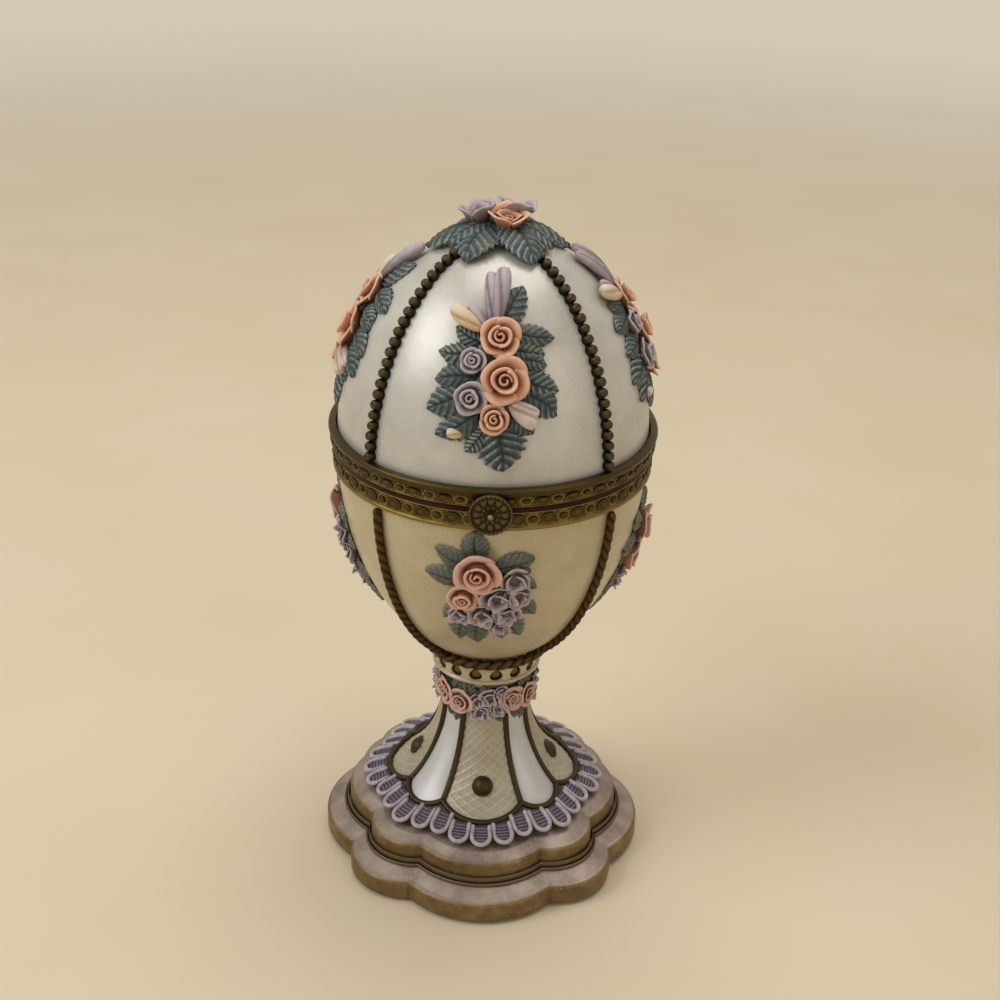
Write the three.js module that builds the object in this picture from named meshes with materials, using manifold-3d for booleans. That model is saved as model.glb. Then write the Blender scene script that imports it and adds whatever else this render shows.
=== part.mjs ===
// Egg trinket box on a flared foot, in millimetres, with +Z up and the front facing -Y.
// The origin is on the egg's axis, on the surface that the box stands on.
import * as THREE from 'three';
import { mergeVertices } from 'three/addons/utils/BufferGeometryUtils.js';
import Module from 'manifold-3d';

const wasm = await Module();
wasm.setup();

const degrees = (value) => value * Math.PI / 180;
const quarterTurn = Math.PI / 2;

// Fits and facets
const fit = 0.3;              // room left between two pieces that are glued or slide
const eggSteps = 24;
const neckSteps = 16;
const wideSteps = 4;          // facets along a wide lobe, an even number so that one point is its tip
const narrowSteps = 4;        // facets along a narrow lobe, even too

// Plinth: a felt pad and two slabs with eight lobes, four wide and four narrow
const feltThickness = 0.8;
const feltInset = 1.6;
const plinthReach = 33.8;     // axis to the tip of a lobe
const plinthScallop = 2.9;    // depth of a notch between two lobes
const plinthThickness = 4.3;
const plinthRise = 1.8;       // how far its top climbs to the upper slab
const plinthRound = 0.5;
const wideLobeHalf = degrees(28);
const tierStep = 5.1;         // the upper slab stands back this far
const tierScallop = 2.6;
const tierThickness = 4.4;
const tierRise = 1.1;
const tierRound = 0.5;
const mouldingWidth = 1.1;
const mouldingHeight = 1.5;

// Lace border and flared foot
const laceMargin = 3.0;       // edge of the upper slab to the lace
const laceScallop = 2.5;
const laceWidth = 5.4;
const laceLoops = 32;
const laceThickness = 0.8;
const laceCord = 0.95;
const narrowLaceStep = 0.3;   // the narrow lobes of the lace stand back this far
const panelScallop = 2.8;
const narrowPanelStep = 0.7;
const flareLift = 0.6;        // height of the lace's outer edge over the slab
const flareHeight = 23.0;
const neckRadius = 9.0;
const neckHeight = 12.0;
const petalBulge = 0.8;
const wireWidth = 1.2;
const wireHeight = 0.6;
const wireEnd = 0.9;          // share of the flare that the raised lines climb
const studRadius = 2.25;
const studHeight = 1.05;
const studSpot = 6.1;         // edge of a wide panel to the middle of its stud

// Neck: a garland of roses under a pierced collar
const garlandDrop = 10.0;     // top of the neck to the middle of the garland
const garlandWidth = 2.6;
const garlandRoses = 12;
const garlandStagger = 1.1;
const garlandRoseDepth = 1.5;
const garlandLeafReach = 4.2;
const garlandLeafWidth = 2.6;
const petalOverlap = 0.4;     // how far two garland roses run together
const collarHeight = 5.0;
const collarFootRadius = 10.9;
const collarMouthRadius = 11.2;
const collarWall = 0.6;
const collarSill = 1.6;       // plain foot of the collar below its windows
const collarWindows = 16;
const windowHeight = 2.8;
const windowWidth = 2.1;

// Egg
const eggRadius = 30.2;       // outside of both shells at the rim
const bowlFootRadius = 11.4;
const bowlHeight = 44.7;      // underside of the bowl to the closing line
const lidHeight = 41.6;       // closing line to the top of the lid's shell
const shellWall = 2.6;
const liningWall = 0.7;
const ropeRadius = 1.0;
const bowlRibRadius = 0.85;
const bowlRibTurn = degrees(2);
const lidRibTurn = degrees(-1.5);
const beadRadius = 0.95;
const beadWaist = 0.5;
const beadPitch = 1.95;
const crownReach = 10.6;      // crown to the top bead, along the lid

// Bands
const closingGap = 0.8;
const lowerBandHeight = 3.6;
const upperBandHeight = 4.1;
const lowerBandWall = 0.7;
const upperBandWall = 1.0;
const bandRecess = 0.25;
const bandEdge = 0.8;         // plain edge below the embossed strip
const bandLip = 0.5;
const lipHeight = 1.6;
const bandFlange = 0.6;
const liningLip = 0.5;

// Hinge
const pinRadius = 0.6;
const pinHead = 1.0;
const pinHeadLength = 0.7;
const knuckleWall = 0.6;
const middleKnuckle = 3.2;
const sideKnuckle = 2.7;
const hingeLeafWall = 0.6;
const hingeLeafHeight = 1.2;
const hingeLeafHalf = degrees(9);

// Clasp
const claspRadius = 4.1;
const claspThickness = 1.2;
const claspPetals = 12;
const claspBead = 1.0;
const claspBeadHeight = 0.8;
const catchRadius = 0.8;
const catchHeight = 0.5;

// Flowers
const leafThickness = 0.9;
const flowerDepth = 2.0;
const lidSprayHeight = 19.2;  // upper band to the middle of a lid spray, along the lid
const bowlSprayDrop = 8.9;    // lower band to the top rose of the front bowl spray, along the bowl
const bowlSpraySettle = 3.4;  // how much lower the other three bowl sprays sit
const sprayUnit = 1.0;        // the lists of leaves and flowers below count in this
const crownMound = 1.4;       // height of the crown's leaves over the lid, where they meet
const crownSpread = 13.4;     // apex to where that mound meets the lid, along the lid
const crownRoseRadius = 4.4;
const crownRoseDepth = 4.6;
const crownHub = 2.4;

// Heights that follow
const plinthEdge = feltThickness + plinthThickness;
const plinthTop = plinthEdge + plinthRise;
const tierEdge = plinthTop + tierThickness;
const tierTop = tierEdge + tierRise;
const flareFoot = tierTop + flareLift;
const flareTop = flareFoot + flareHeight;
const neckTop = flareTop + neckHeight;
const bowlFoot = neckTop + fit;
const closingLine = bowlFoot + bowlHeight;
const lidTop = closingLine + lidHeight;
const lowerBandTop = closingLine - closingGap / 2;
const lowerBandFoot = lowerBandTop - lowerBandHeight;
const upperBandFoot = closingLine + closingGap / 2;
const upperBandTop = upperBandFoot + upperBandHeight;

// Reaches that follow
const tierReach = plinthReach - tierStep;
const laceReach = tierReach - laceMargin;
const panelReach = laceReach - laceWidth;
const bandBore = eggRadius + fit;
const lowerBandReach = bandBore + lowerBandWall;
const upperBandReach = bandBore + upperBandWall;
const lipReach = upperBandReach + bandLip;
const shellBore = eggRadius - shellWall;
const liningReach = shellBore - fit;
const liningBore = liningReach - liningWall;

const feltLobes = lobes(plinthReach - feltInset, 0, plinthScallop);
const plinthLobes = lobes(plinthReach, 0, plinthScallop);
const tierLobes = lobes(tierReach, 0, tierScallop);
const laceLobes = lobes(laceReach, narrowLaceStep, laceScallop);
const panelLobes = lobes(panelReach, narrowPanelStep, panelScallop);
const lobeTurns = makeLobeTurns();

// Finishes
const pearl = finish('#d9d5c8', 0.3, 0.1);
const cream = finish('#cbb693', 0.4, 0);
const mauve = finish('#9c8f86', 0.42, 0.45);
const oldGold = finish('#5d4a26', 0.45, 0.7);
const brass = finish('#8d6f2c', 0.35, 0.85);
const burgundy = finish('#4a1418', 0.8, 0);
const felt = finish('#3a3128', 0.95, 0);
const lilacWhite = finish('#b8a9b4', 0.5, 0);
const purple = finish('#63536a', 0.6, 0);
const leafGreen = finish('#4d5f60', 0.55, 0);
const peach = finish('#c28569', 0.5, 0);
const pink = finish('#b98079', 0.5, 0);
const lilac = finish('#8f7d8c', 0.5, 0);

function finish(color, roughness, metalness) {
  return new THREE.MeshStandardMaterial({ color, roughness, metalness });
}

// Outline of eight lobes: wide ones face front, sides and back, narrow ones stand between.
function lobes(reach, narrowStep, scallop) {
  return { wide: reach, narrow: reach - narrowStep, notch: reach - scallop };
}

// Radius at an angle off the middle of a lobe whose edge is one arc.
function arcRadius(off, half, peak, notch) {
  const centre = (peak ** 2 - notch ** 2) / (2 * (peak - notch * Math.cos(half)));
  const radius = peak - centre;
  return centre * Math.cos(off) + Math.sqrt(radius ** 2 - (centre * Math.sin(off)) ** 2);
}

// Angle off the middle of the nearest narrow lobe.
function offNarrow(turn) {
  const part = ((turn % quarterTurn) + quarterTurn) % quarterTurn;
  return Math.abs(part - quarterTurn / 2);
}

function lobedRadius(outline, turn) {
  const narrowHalf = quarterTurn / 2 - wideLobeHalf;
  const off = offNarrow(turn);
  if (off < narrowHalf) return arcRadius(off, narrowHalf, outline.narrow, outline.notch);
  return arcRadius(quarterTurn / 2 - off, wideLobeHalf, outline.wide, outline.notch);
}

// Angles round the foot, with one on every notch.
function makeLobeTurns() {
  const turns = [];
  const narrow = quarterTurn - 2 * wideLobeHalf;
  for (let side = 0; side < 4; side += 1) {
    const start = side * quarterTurn - wideLobeHalf;
    const next = start + 2 * wideLobeHalf;
    for (let i = 0; i < wideSteps; i += 1) turns.push(start + 2 * wideLobeHalf * i / wideSteps);
    for (let i = 0; i < narrowSteps; i += 1) turns.push(next + narrow * i / narrowSteps);
  }
  return turns;
}

// A point by radius, turn from the front towards +X, and height.
function polar(radius, turn, height) {
  return new THREE.Vector3(radius * Math.sin(turn), -radius * Math.cos(turn), height);
}

// Solids and their geometry
function signedVolume(positions, index) {
  const a = new THREE.Vector3();
  const b = new THREE.Vector3();
  const c = new THREE.Vector3();
  let volume = 0;
  for (let i = 0; i < index.length; i += 3) {
    a.fromArray(positions, 3 * index[i]);
    b.fromArray(positions, 3 * index[i + 1]);
    c.fromArray(positions, 3 * index[i + 2]);
    volume += a.dot(b.cross(c)) / 6;
  }
  return volume;
}

function solid(geometry) {
  const bare = new THREE.BufferGeometry();
  bare.setAttribute('position', geometry.getAttribute('position'));
  if (geometry.index) bare.setIndex(geometry.index);
  const merged = mergeVertices(bare, 1e-4);
  const vertProperties = merged.attributes.position.array;
  const all = Array.from(merged.index.array);
  const corners = [];
  for (let i = 0; i < all.length; i += 3) {
    const [a, b, c] = all.slice(i, i + 3);
    if (a !== b && b !== c && c !== a) corners.push(a, b, c);
  }
  const outward = signedVolume(vertProperties, corners) > 0;
  const triVerts = new Uint32Array(outward ? corners : corners.reverse());
  return new wasm.Manifold(new wasm.Mesh({ numProp: 3, vertProperties, triVerts }));
}

function geometryOf(body) {
  const mesh = body.getMesh();
  const geometry = new THREE.BufferGeometry();
  geometry.setAttribute('position', new THREE.Float32BufferAttribute(mesh.vertProperties, 3));
  geometry.setIndex(new THREE.Uint32BufferAttribute(mesh.triVerts, 1));
  const facets = geometry.toNonIndexed();
  facets.computeVertexNormals();
  return facets;
}

function join(bodies) {
  return bodies.reduce((whole, body) => whole.add(body));
}

// Revolve a profile of [radius, height] pairs that starts and ends on the axis.
function revolve(profile, steps) {
  const points = profile.map(([radius, height]) => new THREE.Vector2(radius, height));
  return solid(new THREE.LatheGeometry(points, steps).rotateX(quarterTurn));
}

// Revolve a closed section, given once round.
function revolveRing(section, steps) {
  return revolve([...section, section[0]], steps);
}

// Triangles over one end ring: a fan from its first point, or from its middle where it has many.
function capIndex(points, first, count, reversed) {
  const corners = [];
  const add = (a, b, c) => corners.push(...(reversed ? [a, c, b] : [a, b, c]));
  if (count <= 6) {
    for (let j = 1; j < count - 1; j += 1) add(first, first + j, first + j + 1);
    return corners;
  }
  const middle = points.length;
  const sum = new THREE.Vector3();
  for (let j = 0; j < count; j += 1) sum.add(points[first + j]);
  points.push(sum.divideScalar(count));
  for (let j = 0; j < count; j += 1) add(middle, first + j, first + (j + 1) % count);
  return corners;
}

// Triangles between rings of equally many points.
function skinIndex(rings, count, closed) {
  const index = [];
  const spans = closed ? rings : rings - 1;
  for (let i = 0; i < spans; i += 1) {
    const low = i * count;
    const high = ((i + 1) % rings) * count;
    for (let j = 0; j < count; j += 1) {
      const k = (j + 1) % count;
      index.push(low + j, low + k, high + k, low + j, high + k, high + j);
    }
  }
  return index;
}

function solidFrom(points, index) {
  const geometry = new THREE.BufferGeometry().setFromPoints(points);
  geometry.setIndex(index);
  return solid(geometry);
}

// Skin over rings, capped at both ends or closed on itself.
function loft(rings, closed = false) {
  const count = rings[0].length;
  const points = rings.flat();
  const index = skinIndex(rings.length, count, closed);
  if (!closed) {
    index.push(...capIndex(points, 0, count, true));
    index.push(...capIndex(points, (rings.length - 1) * count, count, false));
  }
  return solidFrom(points, index);
}

// Skin over rings that ends in a point at both ends.
function spindle(start, rings, end) {
  const count = rings[0].length;
  const points = [...rings.flat(), start, end];
  const index = skinIndex(rings.length, count, false);
  const last = (rings.length - 1) * count;
  for (let j = 0; j < count; j += 1) {
    const k = (j + 1) % count;
    index.push(points.length - 2, k, j, points.length - 1, last + j, last + k);
  }
  return solidFrom(points, index);
}

// Stack of lobed rings, each given as [outline, inset, height].
function lobedStack(levels) {
  return loft(levels.map(([outline, inset, height]) => (
    lobeTurns.map((turn) => polar(lobedRadius(outline, turn) - inset, turn, height))
  )));
}

// Ring that follows a lobed outline, from a section of [offset outwards, height] pairs.
function lobedRing(outline, section) {
  return loft(lobeTurns.map((turn) => (
    section.map(([offset, height]) => polar(lobedRadius(outline, turn) + offset, turn, height))
  )), true);
}

const group = new THREE.Group();

function addNode(name, body, material) {
  const mesh = new THREE.Mesh(geometryOf(body), material);
  mesh.name = name;
  group.add(mesh);
}

// Profiles of the flare, the bowl and the lid, in radius and height
function curve(start, startPull, endPull, end) {
  const points = [start, startPull, endPull, end].map(([x, y]) => new THREE.Vector2(x, y));
  return new THREE.CubicBezierCurve(...points);
}

const flareReach = laceReach - fit;
const flareSpan = flareReach - neckRadius;
const flareCurve = curve(
  [flareReach, flareFoot],
  [neckRadius + 0.49 * flareSpan, flareFoot + 0.087 * flareHeight],
  [neckRadius + 0.037 * flareSpan, flareFoot + 0.39 * flareHeight],
  [neckRadius, flareTop],
);
const neckLine = new THREE.LineCurve(
  new THREE.Vector2(neckRadius, flareTop),
  new THREE.Vector2(neckRadius, neckTop),
);

const bowlSpan = eggRadius - bowlFootRadius;
const bowlCurveFoot = bowlFoot + fit + ropeRadius;
const bowlRise = lowerBandFoot - bowlCurveFoot;
const bowlCurve = curve(
  [bowlFootRadius, bowlCurveFoot],
  [bowlFootRadius + 0.59 * bowlSpan, bowlCurveFoot + 0.168 * bowlRise],
  [bowlFootRadius + 0.968 * bowlSpan, bowlCurveFoot + 0.57 * bowlRise],
  [eggRadius, lowerBandFoot],
);

const lidRise = lidTop - upperBandTop;
const lidCurve = curve(
  [eggRadius, upperBandTop],
  [0.983 * eggRadius, upperBandTop + 0.418 * lidRise],
  [0.679 * eggRadius, lidTop],
  [0, lidTop],
);

// Seat on a profile: a point, and the directions up the profile, sideways and outwards.
function seatAt(profile, share, turn) {
  const point = profile.getPointAt(share);
  const tangent = profile.getTangentAt(share);
  const along = polar(tangent.x, turn, tangent.y);
  const aside = new THREE.Vector3(Math.cos(turn), Math.sin(turn), 0);
  const out = new THREE.Vector3().crossVectors(aside, along).normalize();
  return { at: polar(point.x, turn, point.y), along, aside, out };
}

// Seat by millimetres sideways and upwards from a place on a profile.
function seatBeside(profile, origin, [aside, up]) {
  const share = (origin.height + up) / profile.getLength();
  const radius = profile.getPointAt(share).x;
  return seatAt(profile, share, origin.turn + aside / radius);
}

function lifted(seat, lift) {
  return seat.at.clone().addScaledVector(seat.out, lift);
}

// Move a body that stands on Z = 0 to a seat.
function placed(body, seat, lift) {
  const matrix = new THREE.Matrix4().makeBasis(seat.aside, seat.along, seat.out);
  return body.transform(matrix.setPosition(lifted(seat, lift)).elements);
}

// Profile points moved inwards, square to the profile.
function insetProfile(profile, shares, distance) {
  return shares.map((share) => {
    const point = profile.getPointAt(share);
    const tangent = profile.getTangentAt(share);
    return [point.x - tangent.y * distance, point.y + tangent.x * distance];
  });
}

const onProfile = (profile, shares) => insetProfile(profile, shares, 0);
const flip = (list) => [...list].reverse();

// Share of the flare at a radius, found by halving.
function flareShare(radius) {
  let low = 0;
  let high = 1;
  for (let i = 0; i < 30; i += 1) {
    const middle = (low + high) / 2;
    if (flareCurve.getPointAt(middle).x > radius) low = middle;
    else high = middle;
  }
  return low;
}

const flareHeightAt = (radius) => flareCurve.getPointAt(flareShare(radius)).y;

// Plinth
function makePlinth() {
  addNode('felt_pad', lobedStack([[feltLobes, 0, 0], [feltLobes, 0, feltThickness]]), felt);
  addNode('lower_plinth', lobedStack([
    [plinthLobes, plinthRound, feltThickness],
    [plinthLobes, 0, feltThickness + plinthRound],
    [plinthLobes, 0, plinthEdge - plinthRound],
    [plinthLobes, plinthRound, plinthEdge],
    [plinthLobes, tierStep - mouldingWidth - 2 * fit, plinthTop],
  ]), mauve);
  addNode('upper_plinth', lobedStack([
    [tierLobes, 0, plinthTop],
    [tierLobes, 0, tierEdge - tierRound],
    [tierLobes, tierRound, tierEdge],
    [tierLobes, laceMargin, tierTop],
  ]), mauve);
  addNode('plinth_moulding', lobedRing(tierLobes, [
    [fit, plinthTop],
    [fit + mouldingWidth, plinthTop],
    [fit + 0.8 * mouldingWidth, plinthTop + 0.7 * mouldingHeight],
    [fit, plinthTop + mouldingHeight],
  ]), oldGold);
}

// Lace border: a ground that slopes from the panels to the slab, and looped cord over it
function laceHeight(turn, radius) {
  const inner = lobedRadius(panelLobes, turn);
  const outer = lobedRadius(laceLobes, turn);
  const share = (radius - inner) / (outer - inner);
  return (1 - share) * flareHeightAt(inner) + share * flareHeightAt(outer);
}

function makeLaceGround() {
  addNode('lace_ground', loft(lobeTurns.map((turn) => {
    const inner = lobedRadius(panelLobes, turn) + fit;
    const outer = lobedRadius(laceLobes, turn) - laceCord;
    return [
      polar(inner, turn, tierTop),
      polar(outer, turn, tierTop),
      polar(outer, turn, laceHeight(turn, outer) - fit),
      polar(inner, turn, laceHeight(turn, inner) - fit),
    ];
  }), true), purple);
}

function makeLaceLoops() {
  const pitch = 2 * Math.PI / laceLoops;
  const footRadius = (turn) => lobedRadius(panelLobes, turn) + wireWidth / 2 + 2 * fit;
  const flat = (radius, turn) => {
    const point = polar(radius, turn, 0);
    return new THREE.Vector2(point.x, point.y);
  };
  const rim = [];
  const holes = [];
  for (let i = 0; i < laceLoops; i += 1) {
    const middle = i * pitch;
    const tip = lobedRadius(laceLobes, middle);
    const half = 0.47 * pitch * tip;
    const at = (aside, radius) => flat(radius, middle + aside / radius);
    rim.push(at(-pitch * tip / 2, tip - half));
    rim.push(at(-0.6 * half, tip - 0.15 * half), at(0.6 * half, tip - 0.15 * half));
    const slot = half - laceCord;
    const foot = footRadius(middle) + laceCord;
    const end = tip - laceCord;
    const footSlot = slot * foot / tip;
    holes.push([
      at(-footSlot, foot),
      at(-slot, end - 0.7 * slot),
      at(0, end),
      at(slot, end - 0.7 * slot),
      at(footSlot, foot),
    ]);
  }
  const inside = lobeTurns.map((turn) => flat(footRadius(turn), turn));
  const plate = new THREE.Shape(rim);
  plate.holes = [inside, ...holes].map((outline) => new THREE.Path(outline));
  const geometry = new THREE.ExtrudeGeometry(plate, { depth: laceThickness, bevelEnabled: false });
  const place = geometry.getAttribute('position');
  for (let i = 0; i < place.count; i += 1) {
    const radius = Math.hypot(place.getX(i), place.getY(i));
    const turn = Math.atan2(place.getX(i), -place.getY(i));
    place.setZ(i, place.getZ(i) + laceHeight(turn, radius) + fit);
  }
  addNode('lace_loops', solid(geometry), lilacWhite);
}

// Flared foot with eight panels, its raised lines and the four studs
const footShares = [0, 0.12, 0.27, 0.45, 0.68, wireEnd];

function footPoint(turn, share, lift) {
  const start = flareShare(lobedRadius(panelLobes, turn));
  const seat = seatAt(flareCurve, start + (1 - start) * share, turn);
  const narrowHalf = quarterTurn / 2 - wideLobeHalf;
  const across = 1 - Math.min(offNarrow(turn) / narrowHalf, 1) ** 2;
  const bulge = petalBulge * across * Math.sin(Math.PI * Math.min(share / footShares[4], 1));
  return lifted(seat, lift + bulge);
}

function makeFoot() {
  addNode('flared_foot', loft([
    lobeTurns.map((turn) => polar(lobedRadius(panelLobes, turn), turn, tierTop)),
    ...footShares.map((share) => lobeTurns.map((turn) => footPoint(turn, share, 0))),
    lobeTurns.map((turn) => polar(neckRadius, turn, flareTop)),
    lobeTurns.map((turn) => polar(neckRadius, turn, neckTop)),
  ]), pearl);
}

function makeFootWires() {
  const half = wireWidth / 2;
  const scallops = loft(lobeTurns.map((turn) => {
    const outside = lobedRadius(panelLobes, turn) + fit;
    const edge = footPoint(turn, 0, 0).z;
    return [
      polar(outside + half, turn, edge + fit),
      footPoint(turn, 0.02, fit + wireHeight),
      footPoint(turn, 0.06, fit),
    ];
  }), true);
  const lines = [];
  for (let side = 0; side < 4; side += 1) {
    for (const edge of [-wideLobeHalf, wideLobeHalf]) {
      const turn = side * quarterTurn + edge;
      lines.push(loft([0.04, footShares[2], footShares[4], wireEnd].map((share) => {
        const middle = footPoint(turn, share, 0);
        const spread = half / Math.hypot(middle.x, middle.y);
        return [
          footPoint(turn - spread, share, fit),
          footPoint(turn, share, fit + wireHeight),
          footPoint(turn + spread, share, fit),
        ];
      })));
    }
  }
  addNode('foot_wires', join([scallops, ...lines]), oldGold);
}

function makeStuds() {
  const share = flareShare(panelReach - studSpot);
  ['front', 'right', 'back', 'left'].forEach((name, i) => {
    const stud = dome(studRadius, studHeight, 10);
    addNode(`stud_${name}`, placed(stud, seatAt(flareCurve, share, i * quarterTurn), 1.5 * fit), oldGold);
  });
}

// Low dome that stands on Z = 0.
function dome(radius, height, steps) {
  return revolve([[0, 0], [radius, 0], [0.65 * radius, 0.75 * height], [0, height]], steps);
}

// Round head that stands on Z = 0, from levels of [share of the radius, share of the depth].
function head(radius, depth, sides, levels) {
  return loft(levels.map(([share, height]) => Array.from({ length: sides }, (_, i) => {
    const angle = 2 * Math.PI * (i + 0.5) / sides;
    const reach = radius * share;
    return new THREE.Vector3(reach * Math.cos(angle), reach * Math.sin(angle), height * depth);
  })));
}

const flower = (radius, depth) => head(radius, depth, 6, [[1, 0], [0.62, 1]]);
const openRose = (radius, depth) => head(radius, depth, 8, [[0.6, 0], [0.95, 0.45], [1, 0.8], [0.75, 1]]);

// Section square to a path, with its first side towards the surface.
function section(middle, aside, out, halfWidth, halfDepth, sides) {
  return Array.from({ length: sides }, (_, i) => {
    const angle = 2 * Math.PI * (i + 0.5) / sides;
    return middle.clone()
      .addScaledVector(aside, halfWidth * Math.cos(angle))
      .addScaledVector(out, halfDepth * Math.sin(angle));
  });
}

// Seats from one place to another on a profile, with the direction across the path.
function path(profile, origin, from, to, shares) {
  const [start, end] = [from, to].map((place) => seatBeside(profile, origin, place).at);
  const heading = end.sub(start).normalize();
  return shares.map((share) => {
    const place = [0, 1].map((k) => from[k] + (to[k] - from[k]) * share);
    const seat = seatBeside(profile, origin, place);
    const across = new THREE.Vector3().crossVectors(heading, seat.out).normalize();
    return { ...seat, across };
  });
}

const swelling = [0, 0.35, 0.7, 1];   // along a leaf or bud: its base, its widest stretch, its tip

// Ridged blade laid on a profile: a leaf, or the stem that the leaves of a spray grow from.
function blade(seats, halfWidth, thickness) {
  const rings = seats.slice(1, -1).map((seat) => {
    const foot = lifted(seat, fit);
    return [
      foot.clone().addScaledVector(seat.across, -halfWidth),
      foot.clone().addScaledVector(seat.across, halfWidth),
      foot.clone().addScaledVector(seat.out, thickness),
    ];
  });
  const ends = [seats[0], seats[seats.length - 1]].map((seat) => lifted(seat, fit + thickness / 3));
  return spindle(ends[0], rings, ends[1]);
}

function leaf(profile, origin, from, to, width) {
  return blade(path(profile, origin, from, to, swelling), width / 2, leafThickness);
}

function stem(profile, origin, from, to, width) {
  const shares = [0, 0.08, 0.3, 0.5, 0.7, 0.92, 1];
  return blade(path(profile, origin, from, to, shares), width / 2, 0.8 * leafThickness);
}

// Plump bud laid over the leaves.
function bud(profile, origin, from, to, width) {
  const seats = path(profile, origin, from, to, swelling);
  const middles = seats.map((seat) => lifted(seat, flowerLift + flowerDepth / 2));
  const rings = [1, 2].map((i) => (
    section(middles[i], seats[i].across, seats[i].out, width / 2, flowerDepth / 2, 4)
  ));
  return spindle(middles[0], rings, middles[3]);
}

const flowerLift = 2 * fit + leafThickness;

// Sprays, in spray units sideways and upwards: leaves and buds as [base, tip, width]
const lidSpray = {
  stem: [[0.2, -9.5], [0.2, 10.5], 2.8],
  leaves: [
    [[0.5, 8.0], [4.6, 17.0], 4.2],
    [[0.5, 6.0], [10.3, 8.5], 4.2],
    [[0.5, 2.0], [10.0, 1.6], 4.6],
    [[0.5, -4.6], [11.2, -6.7], 5.0],
    [[-0.3, 6.0], [-6.8, 8.6], 3.6],
    [[-0.3, 3.4], [-9.8, 3.8], 4.0],
    [[-0.3, -0.3], [-10.0, 0.4], 4.2],
    [[-0.3, -5.4], [-11.7, -5.1], 5.0],
    [[0.2, -8.0], [1.6, -15.8], 6.2],
  ],
  buds: [
    [[0.3, 8.5], [0.2, 20.3], 3.2],
    [[-1.0, 7.2], [-7.8, 12.1], 2.8],
    [[2.0, -3.0], [7.2, -8.3], 4.0],
  ],
  flowers: [
    [[0.7, 7.0], 4.0],
    [[-3.7, 3.0], 2.9],
    [[1.5, 0.0], 4.6],
    [[-3.8, -3.3], 3.5],
    [[0.2, -6.7], 3.3],
  ],
};
const bowlSpray = {
  stem: [[-0.2, -15.4], [-0.2, 3.0], 2.8],
  leaves: [
    [[-0.4, 0.8], [-1.6, 7.3], 4.2],
    [[-0.4, -0.4], [-9.7, 3.8], 4.0],
    [[-0.4, -3.6], [-11.8, -1.8], 4.6],
    [[0.2, 1.0], [7.8, 3.2], 3.4],
    [[0.2, -1.4], [8.4, -0.5], 3.8],
    [[-0.4, -11.2], [-7.9, -11.7], 4.6],
    [[-0.4, -13.4], [-3.4, -20.4], 5.4],
    [[0.2, -13.4], [3.4, -19.4], 5.4],
    [[0.2, -11.2], [7.9, -12.7], 4.6],
  ],
  buds: [],
  flowers: [
    [[-1.3, 0.0], 4.1],
    [[-3.6, -5.2], 3.4],
    [[3.5, -2.3], 3.2],
    [[3.6, -7.0], 3.4],
    [[3.6, -12.0], 3.0],
    [[-0.8, -11.6], 3.2],
  ],
};

function makeSpray(prefix, name, turn, profile, height, spray, flowerFinish) {
  const origin = { turn, height };
  const sized = (value) => (Array.isArray(value) ? value.map(sized) : value * sprayUnit);
  const laid = (make) => (item) => make(profile, origin, ...sized(item));
  addNode(`${prefix}_leaves_${name}`, join([
    laid(stem)(spray.stem),
    ...spray.leaves.map(laid(leaf)),
  ]), leafGreen);
  const heads = sized(spray.flowers).map(([place, radius]) => (
    placed(flower(radius, flowerDepth), seatBeside(profile, origin, place), flowerLift)
  ));
  addNode(`${prefix}_flowers_${name}`, join([...heads, ...spray.buds.map(laid(bud))]), flowerFinish);
}

function makeSprays() {
  const frontRun = bowlCurve.getLength() - bowlSprayDrop;
  ['front', 'right', 'back', 'left'].forEach((name, i) => {
    const turn = i * quarterTurn;
    const bowlSprayRun = name === 'front' ? frontRun : frontRun - bowlSpraySettle;
    makeSpray('lid', name, turn, lidCurve, lidSprayHeight, lidSpray, peach);
    makeSpray('bowl', name, turn, bowlCurve, bowlSprayRun, bowlSpray, pink);
  });
}

// Bore of a ring round the neck, with the fit at the middle of its facets
const sleeveBore = (neckRadius + fit) / Math.cos(Math.PI / neckSteps);

// Garland round the neck
function makeGarland() {
  const height = neckHeight - garlandDrop;
  const ringFoot = neckTop - garlandDrop - garlandWidth / 2;
  const ring = revolveRing([
    [sleeveBore, ringFoot],
    [sleeveBore + leafThickness, ringFoot + garlandWidth / 2],
    [sleeveBore, ringFoot + garlandWidth],
  ], neckSteps);
  const leaves = [];
  const roses = [];
  const pitch = 2 * Math.PI / garlandRoses;
  const reach = Math.hypot((neckRadius + flowerLift) * Math.tan(pitch / 2), garlandStagger);
  const radius = reach / Math.cos(Math.PI / 6) + petalOverlap;
  for (let i = 0; i < garlandRoses; i += 1) {
    const up = i % 2 ? 1 : -1;
    const between = { turn: (i + 0.5) * pitch, height };
    const line = up > 0 ? neckLine : flareAndNeck;
    const start = up > 0 ? height : flareAndNeck.getLength() - garlandDrop;
    leaves.push(leaf(line, { ...between, height: start }, [0, 0], [0, up * garlandLeafReach], garlandLeafWidth));
    const seat = seatBeside(neckLine, { turn: i * pitch, height }, [0, up * garlandStagger]);
    roses.push(placed(flower(radius, garlandRoseDepth), seat, flowerLift));
  }
  addNode('neck_leaves', join([ring, ...leaves]), leafGreen);
  addNode('neck_roses', join(roses), pink);
}

// Upright line down past the garland, for the leaves that hang over the flare.
const flareAndNeck = new THREE.LineCurve(
  new THREE.Vector2(neckRadius + fit, flareTop - neckHeight),
  new THREE.Vector2(neckRadius, neckTop),
);

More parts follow.
